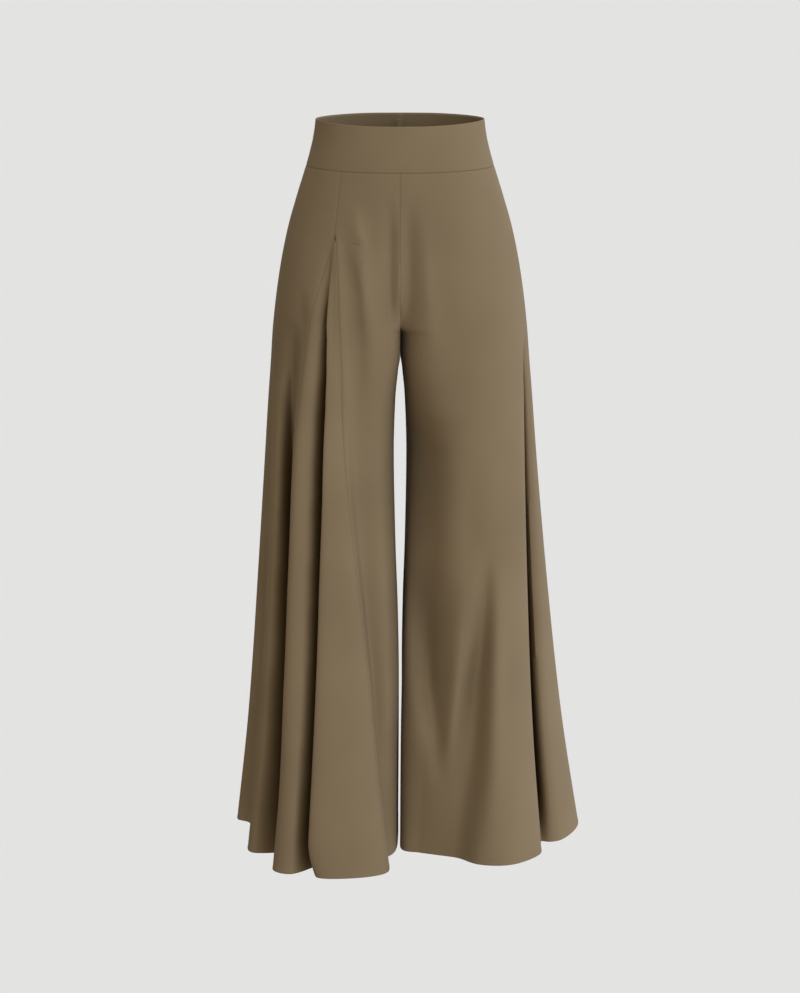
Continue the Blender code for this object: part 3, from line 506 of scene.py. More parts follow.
# ================================================================ pieces of cloth
def face_vectors(grid):
    """Each face's normal in a sheet of points, twice as long as its area."""
    return np.cross(grid[1:, 1:] - grid[:-1, :-1], grid[:-1, 1:] - grid[1:, :-1])


def unit(vectors, least):
    return vectors / np.maximum(np.linalg.norm(vectors, axis=-1, keepdims=True), least)


def normals_of(grid, centre, meets):
    """Unit normals of a sheet of points, rows by columns, pointing out of the body.

    centre marks the rows whose ends lie on the middle plane of the body, and meets those whose two
    ends are one line.
    """
    faces = face_vectors(grid)
    areas = np.linalg.norm(faces, axis=-1, keepdims=True)
    faces = np.where(areas > SAME_POINT**2, faces / np.maximum(areas, SAME_POINT**2), 0)
    normals = np.zeros_like(grid)
    for rows in (slice(None, -1), slice(1, None)):
        for columns in (slice(None, -1), slice(1, None)):
            normals[rows, columns] += faces
    for row, points in enumerate(grid):
        apart = np.linalg.norm(np.diff(points, axis=0), axis=1) > SAME_POINT
        group = np.concatenate([[0], np.cumsum(apart)])
        summed = np.zeros((group[-1] + 1, 3))
        np.add.at(summed, group, normals[row])
        normals[row] = summed[group]
        if meets[row]:
            normals[row, [0, -1]] = normals[row, 0] + normals[row, -1]
        if centre[row]:
            normals[row, [0, -1], 0] = 0
    return unit(normals, LEAST_NUMBER)


def lengths_along(grid, axis):
    """Distance along a sheet of points from its first row or column."""
    steps = np.linalg.norm(np.diff(grid, axis=axis), axis=-1)
    pad = [(1, 0), (0, 0)] if axis == 0 else [(0, 0), (1, 0)]
    return np.pad(np.cumsum(steps, axis=axis), pad)


def grid_place(vert, rows, columns):
    """The row and column of a vertex in a grid two metres across that lies flat round the origin."""
    return round((1 - vert.co.y) / 2 * (rows - 1)), round((vert.co.x + 1) / 2 * (columns - 1))


def cloth_object(name, outer, inner, across, down, light, finish):
    """A closed shell between two sheets of points, with the cloth's own metres as its UV map.

    light says how open to the room each outer point is, and becomes the attribute Open, from which the
    material paints shade into the cloth's colour.
    """
    rows, columns = outer.shape[:2]
    bm = bmesh.new()
    cut = bm.verts.layers.float_vector.new("Cut")
    opened = bm.verts.layers.float.new("Open")
    bmesh.ops.create_grid(bm, x_segments=columns - 1, y_segments=rows - 1, size=1.0)
    made = bmesh.ops.extrude_face_region(bm, geom=bm.faces[:])
    front = {item for item in made["geom"] if isinstance(item, bmesh.types.BMVert)}
    for vert in bm.verts:
        row, column = grid_place(vert, rows, columns)
        vert[cut] = (across[row, column], down[row, column], 0)
        vert[opened] = light[row, column]
        vert.co = Vector((outer if vert in front else inner)[row, column])
    bmesh.ops.remove_doubles(bm, verts=bm.verts, dist=SAME_POINT)
    bmesh.ops.recalc_face_normals(bm, faces=bm.faces)
    uv = bm.loops.layers.uv.new("UVMap")
    for face in bm.faces:
        for loop in face.loops:
            loop[uv].uv = loop.vert[cut].xy
    return object_from(name, bm, finish)


def object_from(name, bm, finish):
    mesh = bpy.data.meshes.new(name)
    bm.to_mesh(mesh)
    bm.free()
    mesh.materials.append(finish)
    mesh.shade_smooth()
    mesh.set_sharp_from_angle(angle=math.radians(SHARP_DEGREES))
    made = bpy.data.objects.new(name, mesh)
    bpy.context.scene.collection.objects.link(made)
    return made


def seam_relief(distance):
    """How far the cloth sinks at this distance from a seam."""
    return -SEAM_DIP * bell(distance, SEAM_WIDTH) - SEAM_ROLL * bell(distance, SEAM_EDGE)


def seam_light(distance):
    """The share of the light left at this distance from a seam, which is painted into the cloth's colour as
    shade.
    """
    return 1 - SEAM_SHADE * bell(distance, SEAM_SHADE_WIDTH)


def hem_relief(above):
    """The rolled hem stands out below its stitches, and rounds in at its edge."""
    ply = HEM_PLY * eased(np.clip((HEM_TURN - above) / HEM_TURN_EASE, 0, 1))
    groove = HEM_GROOVE * bell(above - HEM_STITCH, HEM_GROOVE_WIDTH)
    return ply - groove - HEM_ROUND * bell(above, HEM_ROUND_HEIGHT)


def draped(points, numbers, leg_side):
    """A leg's outer points, rows by columns, with its soft drapes pushed forward or back."""
    points = points.copy()
    places = {"x": points[..., 0].copy(), "fold": numbers}
    own = [drape for drape in DRAPES if drape.leg == leg_side]
    for drape in own:
        for row in range(len(points)):
            z = points[row, 0, 2]
            if not drape.rows[-1].z <= z < drape.rows[0].z:
                continue
            place, width, forward = along_rows(drape.rows, z)
            inside = (numbers[row] >= drape.first) & (numbers[row] <= drape.last)
            push = forward * bell(places[drape.by][row] - place, width)
            hold = 1 - bell(places["x"][row], MIDDLE_HOLD) if z > LEGS_PART_Z else 1
            points[row, :, 1] -= np.where(inside, push, 0) * hold
    return points


# ================================================================ the legs
# start and end are its seams, first and last their fold numbers at the hem.
Panel = namedtuple("Panel", "name start end first last pointed")


def straight(fold):
    """A seam that keeps to one fold number."""
    return [SeamPoint(BAND_SIDE_Z, fold), SeamPoint(HEM_Z, fold)]


RIGHT_PANELS = [
    Panel("front_centre_right", straight(0), GODET_INNER_SEAM, 0, 4, False),
    Panel("godet_right", GODET_INNER_SEAM, GODET_OUTER_SEAM, 4, 9, True),
    Panel("front_side_right", GODET_OUTER_SEAM, straight(15), 9, 15, False),
    Panel("back_right", straight(15), straight(24), 15, 24, False),
]
LEFT_PANELS = [
    Panel("front_left", straight(0), straight(10), 0, 10, False),
    Panel("back_left", straight(10), straight(19), 10, 19, False),
]


def column_shares(folds, panel):
    """Where a panel's columns lie between its seams, close together at folds and beside the seams."""
    numbers = [0.0]
    for i in range(panel.first, panel.last):
        cloth = math.hypot(folds[i + 1].hem_x - folds[i].hem_x, folds[i + 1].hem_y - folds[i].hem_y)
        count = max(FEWEST_COLUMNS, round(cloth / CLOTH_PER_COLUMN))
        shares = (np.arange(count) + 1) / count
        if panel.first < i < panel.last - 1:
            shares = (1 - np.cos(math.pi * shares)) / 2
        numbers += list(i - panel.first + shares)
    first, last, end = numbers[1], numbers[-1] - numbers[-2], numbers[-1]
    near = [first * share for share in EDGE_COLUMNS]
    far = [end - last * share for share in reversed(EDGE_COLUMNS)]
    return np.array([0.0] + near + numbers[1:-1] + far + [end]) / end


def level_heights():
    """The heights of the level rows, from the hip to the hem."""
    fixed = set(PLEAT_ROWS) | set(FORK_ROWS) | {HEM_Z + above for above in HEM_ROWS}
    steps = np.arange(FIRST_LEVEL, HEM_Z + HEM_ROWS[0], -LEVEL_STEP)
    free = [z for z in steps if min(abs(z - other) for other in fixed) > LEVEL_STEP / 2]
    return np.array(sorted(fixed | set(free), reverse=True))


def leg_grid(folds, panels, shares, leg_side):
    """A leg's smooth outer points, rows by columns, and their fold numbers. x is outwards."""

    def fold_numbers(z):
        row = [0.0]
        for panel, share in zip(panels, shares):
            start, end = seam_fold(panel.start, z), seam_fold(panel.end, z)
            row += list(start + (end - start) * share[1:])
        return np.array(row)

    near_band = np.arange(BAND_SIDE_Z + 1.5 * PLAN_STEP, FIRST_LEVEL - PLAN_STEP / 2, -PLAN_STEP)
    numbers = [fold_numbers(z) for z in near_band]
    plans = np.array([leg_row(folds, row, z, leg_side) for row, z in zip(numbers, near_band)])
    just_below_seam = plans[2]
    seam_z = band_bottom(just_below_seam[:, 1]) - SEAM_GAP
    grid, fold_rows = [], []
    for share in TOP_ROWS:
        z = seam_z + (FIRST_LEVEL - seam_z) * share
        grid.append(np.column_stack([on_plans(plans, near_band[0], z), z]))
        fold_rows.append(numbers[0])
    for z in level_heights():
        row = fold_numbers(z)
        grid.append(np.column_stack([leg_row(folds, row, z, leg_side), np.full(len(row), z)]))
        fold_rows.append(row)
    return np.array(grid), np.array(fold_rows)


LegCloth = namedtuple("LegCloth", "side panels firsts outer inner across down to_seam")


def leg_cloth(folds, panels, side):
    """One leg's outer and inner points with their relief, rows by columns. side is RIGHT or LEFT."""
    shares = [column_shares(folds, panel) for panel in panels]
    firsts = np.concatenate([[0], np.cumsum([len(share) - 1 for share in shares])])
    grid, numbers = leg_grid(folds, panels, shares, side)
    grid = draped(grid, numbers, side)
    heights = grid[:, 0, 2]
    above_parting = np.clip((heights - LEGS_PART_Z) / LEGS_PART_EASE, 0, 1)
    below_touching = np.clip((LEGS_TOUCH_Z - heights) / LEGS_TOUCH_EASE, 0, 1)
    touching = above_parting * below_touching
    pressed = touching[:, None] * bell(grid[..., 0], LEGS_MEET_REACH)
    grid[..., 0] = np.maximum(grid[..., 0] - LEGS_MEET * pressed, 0)
    centre, meets = heights > FORK_Z, heights <= CROTCH_Z
    normals = normals_of(grid, centre, meets)
    across, down = lengths_along(grid, 1), lengths_along(grid, 0)
    relief = seam_relief(down) + hem_relief(grid[..., 2] - HEM_Z)
    to_seam = np.full(across.shape, np.inf)
    for column in firsts:
        to_seam = np.minimum(to_seam, np.abs(across - across[:, [column]]))
    relief += seam_relief(to_seam) * (1 - pressed)
    outer = grid + normals * relief[..., None]
    inner = outer - normals_of(outer, centre, meets) * CLOTH_WALL
    for face in (outer, inner):
        face[..., 0] = np.maximum(face[..., 0], LEG_CLEARANCE) * side
    to_seam = np.minimum(np.where(pressed > SHADELESS_PRESS, np.inf, to_seam), down)
    return LegCloth(side, panels, firsts, outer, inner, across, down, to_seam)


def panel_columns(leg, i):
    return slice(leg.firsts[i], leg.firsts[i + 1] + 1)


def leg_pieces(leg, opened, finish):
    """A leg's panels by name, each with its object and its outer points."""
    heights = leg.outer[:, 0, 2]
    # Painted shade: less light in the folds and at the seams darkens the cloth's colour through the
    # attribute Open.
    light = opened * seam_light(leg.to_seam)
    made = {}
    for i, panel in enumerate(leg.panels):
        rows = heights < PLEAT_Z if panel.pointed else heights < 0
        part = (rows, panel_columns(leg, i))
        outer, inner, across, down = leg.outer[part], leg.inner[part], leg.across[part], leg.down[part]
        across = across - (across[:, [0]] + across[:, [-1]]) / 2
        piece = cloth_object(panel.name + "_cloth", outer, inner, across, down, light[part], finish)
        made[panel.name] = (piece, outer)
    return made


# ================================================================ how deep in its folds the cloth lies, for the shade painted into its colour
OPEN_EVERY = 3                             # rows and columns between the places that are measured
OPEN_REACH = 0.30                          # how far off cloth still takes light away
OPEN_START = 0.002                         # how far off its own cloth a ray starts
OPEN_TURNS = np.radians(np.arange(-80, 81, 10))  # the rays' turns from the cloth's normal


def hits(start, way, ends_a, ends_b):
    """Whether each ray, from start along way, meets any of the lines from ends_a to ends_b in plan."""
    line = ends_b - ends_a
    to_line = ends_a[None, None] - start[:, None, None]
    cross = way[..., None, 0] * line[:, 1] - way[..., None, 1] * line[:, 0]
    cross = np.where(np.abs(cross) < LEAST_NUMBER, LEAST_NUMBER, cross)
    far = (to_line[..., 0] * line[:, 1] - to_line[..., 1] * line[:, 0]) / cross
    along = (to_line[..., 0] * way[..., None, 1] - to_line[..., 1] * way[..., None, 0]) / cross
    return ((far > 0) & (far < OPEN_REACH) & (along >= 0) & (along <= 1)).any(axis=-1)


def openness(leg):
    """The share of the room's light, in plan, that a leg's folds leave each outer point, 0 to 1, which the
    cloth's material paints as shade.
    """
    rows, columns = leg.outer.shape[:2]
    no_row = np.zeros(rows, bool)
    normals = normals_of(leg.outer * (leg.side, 1, 1), no_row, no_row)[..., :2] * (leg.side, 1)
    normals = unit(normals, LEAST_LENGTH)
    key = np.array(direction(KEY_AZIMUTH, KEY_ELEVATION))[:2]
    cos, sin = np.cos(OPEN_TURNS), np.sin(OPEN_TURNS)
    measured_rows = sorted(set(range(len(TOP_ROWS), rows, OPEN_EVERY)) | {rows - 1})
    measured_columns = np.arange(0, columns, OPEN_EVERY)
    field = np.ones((rows, columns))
    for row in measured_rows:
        line = leg.outer[row, ::2, :2]
        n = normals[row, measured_columns]
        way = np.stack([n[:, [0]] * cos - n[:, [1]] * sin, n[:, [0]] * sin + n[:, [1]] * cos], axis=-1)
        start = leg.outer[row, measured_columns, :2] + n * OPEN_START
        bright = cos * (1 + ROOM_SLANT * (way @ key))
        free = (~hits(start, way, line[:-1], line[1:]) * bright).sum(axis=1) / bright.sum(axis=1)
        field[row] = np.interp(np.arange(columns), measured_columns, free)
    known = [0] + measured_rows
    for column in range(columns):
        field[:, column] = np.interp(np.arange(rows), known, field[known, column])
    for _ in range(2):
        field[:, 1:-1] = (field[:, :-2] + 2 * field[:, 1:-1] + field[:, 2:]) / 4
    return field


# ================================================================ materials
def node(tree, kind, inputs=None, **settings):
    """A new node with its settings and its sockets' constants."""
    made = tree.nodes.new(kind)
    for key, value in settings.items():
        setattr(made, key, value)
    for key, value in (inputs or {}).items():
        made.inputs[key].default_value = value
    return made


def new_material(name, constants):
    """A new material, with its tree and its shader, whose own sockets take the constants."""
    made = bpy.data.materials.new(name)
    made.use_nodes = True
    shader = made.node_tree.nodes["Principled BSDF"]
    for key, value in constants.items():
        shader.inputs[key].default_value = value
    return made, made.node_tree, shader


def crepe(name, light, dark, deep, roughness, sheen):
    """Crepe suiting: a fine pebbled weave that follows the cut, with painted shade that darkens its colour
    towards deep inside its folds and along its seams.
    """
    made, tree, shader = new_material(name, {
        "Roughness": roughness,
        "Specular IOR Level": 0.12,
        "Sheen Weight": sheen,
        "Sheen Roughness": 0.45,
        "Sheen Tint": (0.95, 0.88, 0.78, 1.0),
    })
    link = tree.links.new
    place = node(tree, "ShaderNodeTexCoord")
    cut = node(tree, "ShaderNodeUVMap", uv_map="UVMap")
    slow = node(tree, "ShaderNodeTexNoise", {"Scale": 7.0, "Detail": 2.0, "Roughness": 0.5})
    link(place.outputs["Object"], slow.inputs["Vector"])
    yarn = node(tree, "ShaderNodeTexNoise", {"Scale": 900.0, "Detail": 2.0, "Roughness": 0.6})
    link(cut.outputs["UV"], yarn.inputs["Vector"])
    weave = node(tree, "ShaderNodeMath", operation="MULTIPLY")
    for socket, way, threads in ((0, "X", 520.0), (1, "Y", 480.0)):
        uneven = {"Scale": threads, "Distortion": 1.5, "Detail": 1.0, "Detail Scale": 1.2}
        wave = node(tree, "ShaderNodeTexWave", uneven, bands_direction=way)
        link(cut.outputs["UV"], wave.inputs["Vector"])
        link(wave.outputs["Fac"], weave.inputs[socket])
    height = node(tree, "ShaderNodeMath", operation="ADD")
    link(weave.outputs[0], height.inputs[0])
    link(yarn.outputs["Fac"], height.inputs[1])
    mixed = node(tree, "ShaderNodeMath", {1: 0.30}, operation="MULTIPLY")
    link(yarn.outputs["Fac"], mixed.inputs[0])
    tone = node(tree, "ShaderNodeMath", operation="ADD")
    link(slow.outputs["Fac"], tone.inputs[0])
    link(mixed.outputs[0], tone.inputs[1])
    ramp = node(tree, "ShaderNodeValToRGB")
    ramp.color_ramp.elements[0].position = 0.45
    ramp.color_ramp.elements[0].color = dark
    ramp.color_ramp.elements[1].position = 0.85
    ramp.color_ramp.elements[1].color = light
    link(tone.outputs[0], ramp.inputs["Fac"])
    # Painted shade: the attribute Open darkens the base colour towards deep where folds and seams shut out
    # the room's light.
    opened = node(tree, "ShaderNodeAttribute", attribute_name="Open")
    shut_to_open = {"From Min": 0.12, "From Max": 0.88}
    depth = node(tree, "ShaderNodeMapRange", shut_to_open, interpolation_type="SMOOTHSTEP")
    link(opened.outputs["Fac"], depth.inputs["Value"])
    shaded = node(tree, "ShaderNodeMix", {"A": deep}, data_type="RGBA", blend_type="MIX")
    link(depth.outputs["Result"], shaded.inputs["Factor"])
    link(ramp.outputs["Color"], shaded.inputs["B"])
    link(shaded.outputs["Result"], shader.inputs["Base Color"])
    drift = node(tree, "ShaderNodeTexNoise", {"Scale": 16.0, "Detail": 1.0, "Roughness": 0.4})
    link(place.outputs["Object"], drift.inputs["Vector"])
    soft = node(tree, "ShaderNodeBump", {"Strength": 0.35, "Distance": 0.0012})
    link(drift.outputs["Fac"], soft.inputs["Height"])
    bump = node(tree, "ShaderNodeBump", {"Strength": 0.25, "Distance": 0.0001})
    link(height.outputs[0], bump.inputs["Height"])
    link(soft.outputs["Normal"], bump.inputs["Normal"])
    link(bump.outputs["Normal"], shader.inputs["Normal"])
    return made


WEAR = 0.08                                # how far roughness wanders on the small hard pieces


def fine_finish(name, light, dark, roughness, coat, scale, relief, kind="ShaderNodeTexNoise"):
    """Thread, nylon or enamel: two close tones, a fine relief and a light coat."""
    made, tree, shader = new_material(name, {"Coat Weight": coat, "Coat Roughness": 0.25})
    link = tree.links.new
    place = node(tree, "ShaderNodeTexCoord")
    grain = node(tree, kind, {"Scale": scale})
    link(place.outputs["Object"], grain.inputs["Vector"])
    wear = node(tree, "ShaderNodeTexNoise", {"Scale": 260.0, "Detail": 3.0})
    link(place.outputs["Object"], wear.inputs["Vector"])
    tone = node(tree, "ShaderNodeMix", {"A": dark, "B": light}, data_type="RGBA", blend_type="MIX")
    link(wear.outputs["Fac"], tone.inputs["Factor"])
    link(tone.outputs["Result"], shader.inputs["Base Color"])
    gloss = node(tree, "ShaderNodeMapRange", {"To Min": roughness - WEAR, "To Max": roughness + WEAR})
    link(wear.outputs["Fac"], gloss.inputs["Value"])
    link(gloss.outputs["Result"], shader.inputs["Roughness"])
    bump = node(tree, "ShaderNodeBump", {"Strength": 0.5, "Distance": relief})
    link(grain.outputs["Fac"], bump.inputs["Height"])
    link(bump.outputs["Normal"], shader.inputs["Normal"])
    return made


# ================================================================ the waistband
BAND_COLUMN = 0.0035
BAND_ROW = 0.006
BAND_EDGE = (0.0, 0.0003, 0.0008, 0.0015, 0.0026, 0.0042)
BAND_QUARTER = 0.165                       # the cloth of a quarter of the waist
BAND_SEAMS = (-2, -1, 1, 2)                # turns at which the back centre and the sides are sewn
BAND_TOP_LEVEL, BAND_LAST_LEVEL = 0.006, -0.074
BAND_ROLL, BAND_ROLL_HEIGHT = 0.0007, 0.0007   # its top edge rounds in
BAND_LINE, BAND_LINE_DOWN, BAND_LINE_WIDTH = 0.0002, 0.0026, 0.0006  # a pressed line under that edge
# The band parts at the back centre round the slider's neck: distance down it, and half the width.
NOTCH = (
    (0.0, 0.00005), (0.0102, 0.00006), (0.0106, 0.00095), (0.0167, 0.00095), (0.0171, 0.00008), (0.03, 0.0),
)
NOTCH_REACH = 0.012                        # how far to each side the cloth gives way to it


def band_rows(height):
    """Distances down the band: close together at both edges and at the notch's ends."""
    inner = np.linspace(BAND_EDGE[-1], height - BAND_EDGE[-1], round(height / BAND_ROW))
    edge = np.array(BAND_EDGE[:-1])
    notch = [down for down, _ in NOTCH[1:-1]]
    return np.sort(np.concatenate([edge, inner, notch, height - edge]))


def waistband(finish):
    """The band's three pieces, in quarter turns round the waist: -2 and 2 at the back, 0 at the front."""
    quarter = round(BAND_QUARTER / BAND_COLUMN)
    step = 1 / quarter
    turns = [k * step for k in range(-2 * quarter, 2 * quarter + 1)]
    for seam in BAND_SEAMS:
        for share in EDGE_COLUMNS:
            turns += [t for t in (seam - share * step, seam + share * step) if abs(t) < 2]
    turns = np.array(sorted(turns))
    along, side = np.abs(turns), np.sign(turns)
    level = on_section(smooth_section(BAND_SIDE_Z), along)
    top, bottom = band_top(level[:, 1]), band_bottom(level[:, 1])
    height = float(top.mean() - bottom.mean())
    shares = band_rows(height) / height
    levels = np.arange(BAND_TOP_LEVEL, BAND_LAST_LEVEL, -PLAN_STEP)
    plans = np.array([on_section(smooth_section(z), along) for z in levels])
    grid = np.empty((len(shares), len(turns), 3))
    for row, share in enumerate(shares):
        z = top + (bottom - top) * share
        plan = on_plans(plans, levels[0], z)
        grid[row] = np.column_stack([plan[:, 0] * side, plan[:, 1], z])
    every_row = np.ones(len(shares), bool)
    across, down = lengths_along(grid, 1), lengths_along(grid, 0)
    to_seam = np.full(across.shape, np.inf)
    for seam in BAND_SEAMS:
        at = int(np.argmin(np.abs(turns - seam)))
        to_seam = np.minimum(to_seam, np.abs(across - across[:, [at]]))
    relief = seam_relief(to_seam) + seam_relief(down[-1] - down)
    roll = BAND_ROLL * bell(down, BAND_ROLL_HEIGHT)
    line = BAND_LINE * bell(down - BAND_LINE_DOWN, BAND_LINE_WIDTH)
    outer = grid + normals_of(grid, every_row, every_row) * (relief - roll - line)[..., None]
    wall = BAND_WALL - 2 * roll
    inner = outer - normals_of(outer, every_row, every_row) * wall[..., None]
    notch = between(NOTCH, shares * height)
    for face in (outer, inner):
        near = np.clip(1 - np.abs(face[..., 0]) / NOTCH_REACH, 0, 1) ** 2 * (face[..., 1] > 0)
        face[..., 0] += side[None, :] * near * notch[:, None]
    # Painted shade along the band's seams and its lower edge.
    light = seam_light(np.minimum(to_seam, down[-1] - down))
    made = {}
    pieces = (("waistband_back_right", -2, -1), ("waistband_front", -1, 1), ("waistband_back_left", 1, 2))
    for name, start, end in pieces:
        first, last = (int(np.argmin(np.abs(turns - turn))) for turn in (start, end))
        columns = slice(first, last + 1)
        faces = outer[:, columns], inner[:, columns]
        u = across[:, columns] - across[:, [(first + last) // 2]]
        piece = cloth_object(name + "_cloth", *faces, u, down[:, columns], light[:, columns], finish)
        made[name] = (piece, faces[0])
    return made


# ================================================================ the zip and the stitches
ZIP_TOP_Z, ZIP_END_Z = -0.003, -0.225
NECK_END_Z, TAPES_MEET_Z = -0.0168, -0.0185    # just below the slider's neck
TAPE_HALF_WIDTH = 0.011
TAPE_WALL = 0.0006
TAPE_GAP = 0.0003
TAPE_ROLL, TAPE_ROLL_WIDTH = 0.0004, 0.0009    # the tapes' inner edges turn in to the coil
TAPE_COLUMNS = np.array([0.0, 0.03, 0.08, 0.16, 0.32, 0.55, 0.78, 0.92, 0.98, 1.0])
TAPE_ROWS = np.concatenate([
    np.linspace(ZIP_TOP_Z, NECK_END_Z, 6), [-0.0176, TAPES_MEET_Z], np.linspace(-0.0225, ZIP_END_Z, 46),
])
# Half the space between the tapes, which the slider's neck stands in: height and width.
TAPE_PARTS = ((TAPES_MEET_Z, 0.00005), (NECK_END_Z, 0.0011), (ZIP_TOP_Z, 0.0011))
COIL_HALF_WIDTH, COIL_HALF_DEPTH = 0.0021, 0.0007
COIL_PITCH, COIL_RIPPLE, COIL_SLANT = 0.0014, 0.17, 1.3
COIL_END_Z = ZIP_END_Z + 0.0015
COIL_SIDES, COIL_ROWS_PER_TURN = 12, 4


NEAR_BACK_CENTRE = np.linspace(1.6, 2.0, 80)   # places along a section


def back_depth(x, z):
    """The depth of the outer face near the back centre, x from the middle."""
    near = on_section(smooth_section(z), NEAR_BACK_CENTRE)
    return np.interp(np.abs(x), near[::-1, 0], near[::-1, 1])


def zip_tape(name, side, finish):
    """One of the zip's two tapes, on the inside. side is RIGHT or LEFT."""
    outer = []
    for z in TAPE_ROWS:
        edge = between(TAPE_PARTS, z)
        x = edge + (TAPE_HALF_WIDTH - edge) * TAPE_COLUMNS
        depth = back_depth(x, z) - BAND_WALL - TAPE_GAP - TAPE_ROLL * bell(x - edge, TAPE_ROLL_WIDTH)
        outer.append(np.column_stack([x * side, depth, np.full(len(x), z)]))
    outer = np.array(outer)
    inner = outer - (0, TAPE_WALL, 0)
    across, down = lengths_along(outer, 1), lengths_along(outer, 0)
    piece = cloth_object(name, outer, inner, across, down, np.ones(across.shape), finish)
    return piece, outer


def zip_coil(finish):
    """The closed chain on the tapes' inner side: a flat tube with the turns of its coils in relief."""
    heights = np.arange(NECK_END_Z, COIL_END_Z, -COIL_PITCH / COIL_ROWS_PER_TURN)
    turns = np.linspace(0, 2 * math.pi, COIL_SIDES + 1)
    inset = BAND_WALL + TAPE_GAP + TAPE_ROLL + TAPE_WALL + COIL_HALF_DEPTH
    grid = []
    for row, z in enumerate(heights):
        middle = float(back_depth(0, z)) - inset
        ripple = 1 + COIL_RIPPLE * np.sin(2 * math.pi * z / COIL_PITCH + COIL_SLANT * np.cos(turns))
        closed = row in (0, len(heights) - 1)
        size = 0 * ripple if closed else ripple
        x = COIL_HALF_WIDTH * np.cos(turns) * size
        y = middle + COIL_HALF_DEPTH * np.sin(turns) * size
        grid.append(np.column_stack([x, y, np.full(len(turns), z)]))
    grid = np.array(grid)
    rows, columns = grid.shape[:2]
    bm = bmesh.new()
    bmesh.ops.create_grid(bm, x_segments=columns - 1, y_segments=rows - 1, size=1.0)
    for vert in bm.verts:
        vert.co = Vector(grid[grid_place(vert, rows, columns)])
    bmesh.ops.remove_doubles(bm, verts=bm.verts, dist=SAME_POINT)
    bmesh.ops.recalc_face_normals(bm, faces=bm.faces)
    return object_from("zip_coil", bm, finish)


def hem_stitches(name, leg, columns, finish):
    """A row of short stitches through the hem, outside and inside."""
    row = int(np.argmin(np.abs(leg.outer[:, 0, 2] - (HEM_Z + HEM_STITCH))))
    out = (leg.outer - leg.inner)[row, columns]
    out /= np.linalg.norm(out, axis=1, keepdims=True)
    bm = bmesh.new()
    for face, way in ((leg.outer, 1), (leg.inner, -1)):
        line = face[row, columns]
        far = np.concatenate([[0], np.cumsum(np.linalg.norm(np.diff(line, axis=0), axis=1))])
        count = round(float(far[-1]) / STITCH_STEP)
        places = (np.arange(count) + 0.5) / count * far[-1]
        ends = [
            np.column_stack([np.interp(places + half, far, line[:, i]) for i in range(3)])
            for half in (-STITCH_LENGTH / 2, STITCH_LENGTH / 2)
        ]
        normals = np.column_stack([np.interp(places, far, out[:, i]) for i in range(3)]) * way
        for start, end, normal in zip(*ends, normals):
            along = Vector(end - start).normalized()
            up = (Vector(normal) - along * Vector(normal).dot(along)).normalized()
            turn = Matrix((along, up.cross(along), up)).transposed().to_4x4()
            place = Matrix.Translation(Vector((start + end) / 2) + up * THREAD * THREAD_RISE)
            size = Matrix.Diagonal((STITCH_LENGTH / 2, THREAD / 2, THREAD / 2, 1.0))
            laid = place @ turn @ size
            bmesh.ops.create_uvsphere(bm, u_segments=6, v_segments=4, radius=1.0, matrix=laid)
    return object_from(name, bm, finish)


# ================================================================ the room
# The studio's light from a direction whose cosine to the key is c is ROOM_LIGHT times
# ROOM_TINT + KEY_TINT * c + ROOM_BEND * c * c, or none: cooler on the key side, weaker and warmer opposite.
ROOM_LIGHT = 0.81
ROOM_TINT = (1.15, 1.15, 1.18)
KEY_TINT = (0.94, 1.06, 1.32)
ROOM_BEND = -0.45
KEY_AZIMUTH, KEY_ELEVATION = 80.0, 30.0    # degrees round from the front to the wearer's left, and up
ROOM_SLANT = 1.00                          # how much brighter the key side is, where openness weighs it
CAMERA_PLACE = (0.0, -3.8, 0.24)
CAMERA_DOWN = 11.785                       # degrees
LENS, SENSOR = 95.476, 36.0                # millimetres, the sensor's along the picture's height
FLOOR_RADIUS = 2000.0
FLOOR_Z = -4.0
FLOOR_COLOUR = (0.722, 0.697, 0.637, 1.0)
BACKDROP_RADIUS = 1900.0
BACKDROP_COLOUR = (0.776, 0.776, 0.770, 1.0)


def direction(azimuth, elevation):
    """A unit vector, from degrees round from the front towards the wearer's left, and degrees up."""
    a, e = math.radians(azimuth), math.radians(elevation)
    return Vector((math.sin(a) * math.cos(e), -math.cos(a) * math.cos(e), math.sin(e)))


def camera():
    made = bpy.data.objects.new("camera", bpy.data.cameras.new("camera"))
    bpy.context.scene.collection.objects.link(made)
    made.location = CAMERA_PLACE
    made.rotation_euler = (math.radians(90 - CAMERA_DOWN), 0.0, 0.0)
    made.data.sensor_fit = "VERTICAL"
    made.data.sensor_width = SENSOR
    made.data.sensor_height = SENSOR
    made.data.lens = LENS
    made.data.clip_end = 2 * FLOOR_RADIUS
    bpy.context.scene.camera = made


def studio_light():
    world = bpy.data.worlds.new("studio")
    bpy.context.scene.world = world
    world.use_nodes = True
    tree = world.node_tree
    link = tree.links.new
    background = tree.nodes["Background"]
    background.inputs["Strength"].default_value = ROOM_LIGHT
    place = node(tree, "ShaderNodeTexCoord")
    key = {1: direction(KEY_AZIMUTH, KEY_ELEVATION)}
    toward = node(tree, "ShaderNodeVectorMath", key, operation="DOT_PRODUCT")
    link(place.outputs["Generated"], toward.inputs[0])
    bend = node(tree, "ShaderNodeVectorMath", {1: [ROOM_BEND] * 3, 2: KEY_TINT}, operation="MULTIPLY_ADD")
    link(toward.outputs["Value"], bend.inputs[0])
    slant = node(tree, "ShaderNodeVectorMath", {2: ROOM_TINT}, operation="MULTIPLY_ADD")
    link(bend.outputs["Vector"], slant.inputs[0])
    link(toward.outputs["Value"], slant.inputs[1])
    lit = node(tree, "ShaderNodeVectorMath", operation="MAXIMUM")
    link(slant.outputs["Vector"], lit.inputs[0])
    link(lit.outputs["Vector"], background.inputs["Color"])


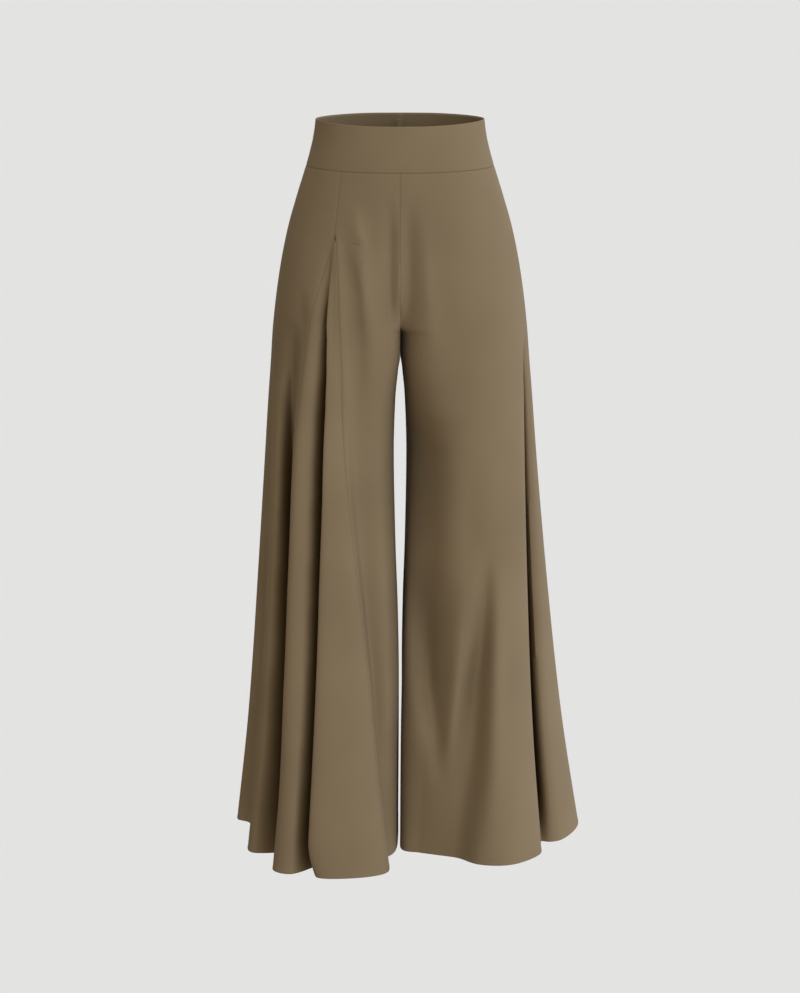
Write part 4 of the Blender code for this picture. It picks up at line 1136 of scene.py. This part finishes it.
def floor():
    bm = bmesh.new()
    bmesh.ops.create_circle(bm, cap_ends=True, segments=64, radius=FLOOR_RADIUS)
    bmesh.ops.translate(bm, verts=bm.verts, vec=(0, 0, FLOOR_Z))
    dull = {"Base Color": FLOOR_COLOUR, "Roughness": 1.0, "Specular IOR Level": 0.0}
    paint, _, _ = new_material("floor_paint", dull)
    made = object_from("floor", bm, paint)
    made.visible_diffuse = False


def backdrop():
    """A pale dome that only the camera sees, so that each view has the same plain background."""
    bm = bmesh.new()
    bmesh.ops.create_uvsphere(bm, u_segments=48, v_segments=24, radius=BACKDROP_RADIUS)
    bmesh.ops.reverse_faces(bm, faces=bm.faces)
    paper, _, _ = new_material("backdrop_paper", {
        "Base Color": (0.0, 0.0, 0.0, 1.0),
        "Specular IOR Level": 0.0,
        "Emission Color": BACKDROP_COLOUR,
        "Emission Strength": 1.0,
    })
    made = object_from("backdrop", bm, paper)
    made.visible_diffuse = False
    made.visible_glossy = False
    made.visible_transmission = False
    made.visible_shadow = False


def room():
    bpy.context.scene.view_settings.view_transform = "Standard"
    camera()
    studio_light()
    floor()
    backdrop()


# ================================================================ putting it together
OLIVE_LIGHT = (0.220, 0.158, 0.0855, 1.0)
OLIVE_DARK = (0.194, 0.138, 0.0738, 1.0)
# Painted shade: the cloth's colour deep in its folds and along its seams, mixed in by the attribute Open.
OLIVE_PAINTED_SHADE = (0.066, 0.038, 0.011, 1.0)
THREAD_LIGHT = (0.250, 0.185, 0.105, 1.0)

room()
cloth = crepe("olive_crepe", OLIVE_LIGHT, OLIVE_DARK, OLIVE_PAINTED_SHADE, 0.85, 0.02)
nylon = crepe("nylon_tape", OLIVE_LIGHT, OLIVE_DARK, OLIVE_PAINTED_SHADE, 0.70, 0.0)
twist = "ShaderNodeTexWave"
thread = fine_finish("thread", THREAD_LIGHT, OLIVE_DARK, 0.60, 0.0, 1400.0, 0.00005, twist)
coil_nylon = fine_finish("coil_nylon", OLIVE_LIGHT, OLIVE_DARK, 0.45, 0.1, 900.0, 0.00003)
enamel = fine_finish("zip_enamel", OLIVE_LIGHT, OLIVE_DARK, 0.40, 0.3, 1200.0, 0.00002)

pieces = waistband(cloth)
extras = {}
legs = [leg_cloth(RIGHT_FOLDS, RIGHT_PANELS, RIGHT), leg_cloth(LEFT_FOLDS, LEFT_PANELS, LEFT)]
for leg in legs:
    pieces.update(leg_pieces(leg, openness(leg), cloth))
    for i, panel in enumerate(leg.panels):
        stitches = hem_stitches(panel.name + "_stitches", leg, panel_columns(leg, i), thread)
        extras[panel.name] = stitches
for name, (piece, outer) in pieces.items():
    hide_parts(name)
coil = zip_coil(coil_nylon)
extras["zip_tape_right"] = coil
for name, side in (("zip_tape_right", RIGHT), ("zip_tape_left", LEFT)):
    pieces[name] = zip_tape(name, side, nylon)
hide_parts("zip_tape")
for extra in extras.values():
    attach(extra, "pants")
for name, (piece, outer) in pieces.items():
    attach(piece, "pants")
for name in ("zip_slider", "zip_pull"):
    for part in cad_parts[name].material_slots:
        part.link = "OBJECT"
        part.material = enamel
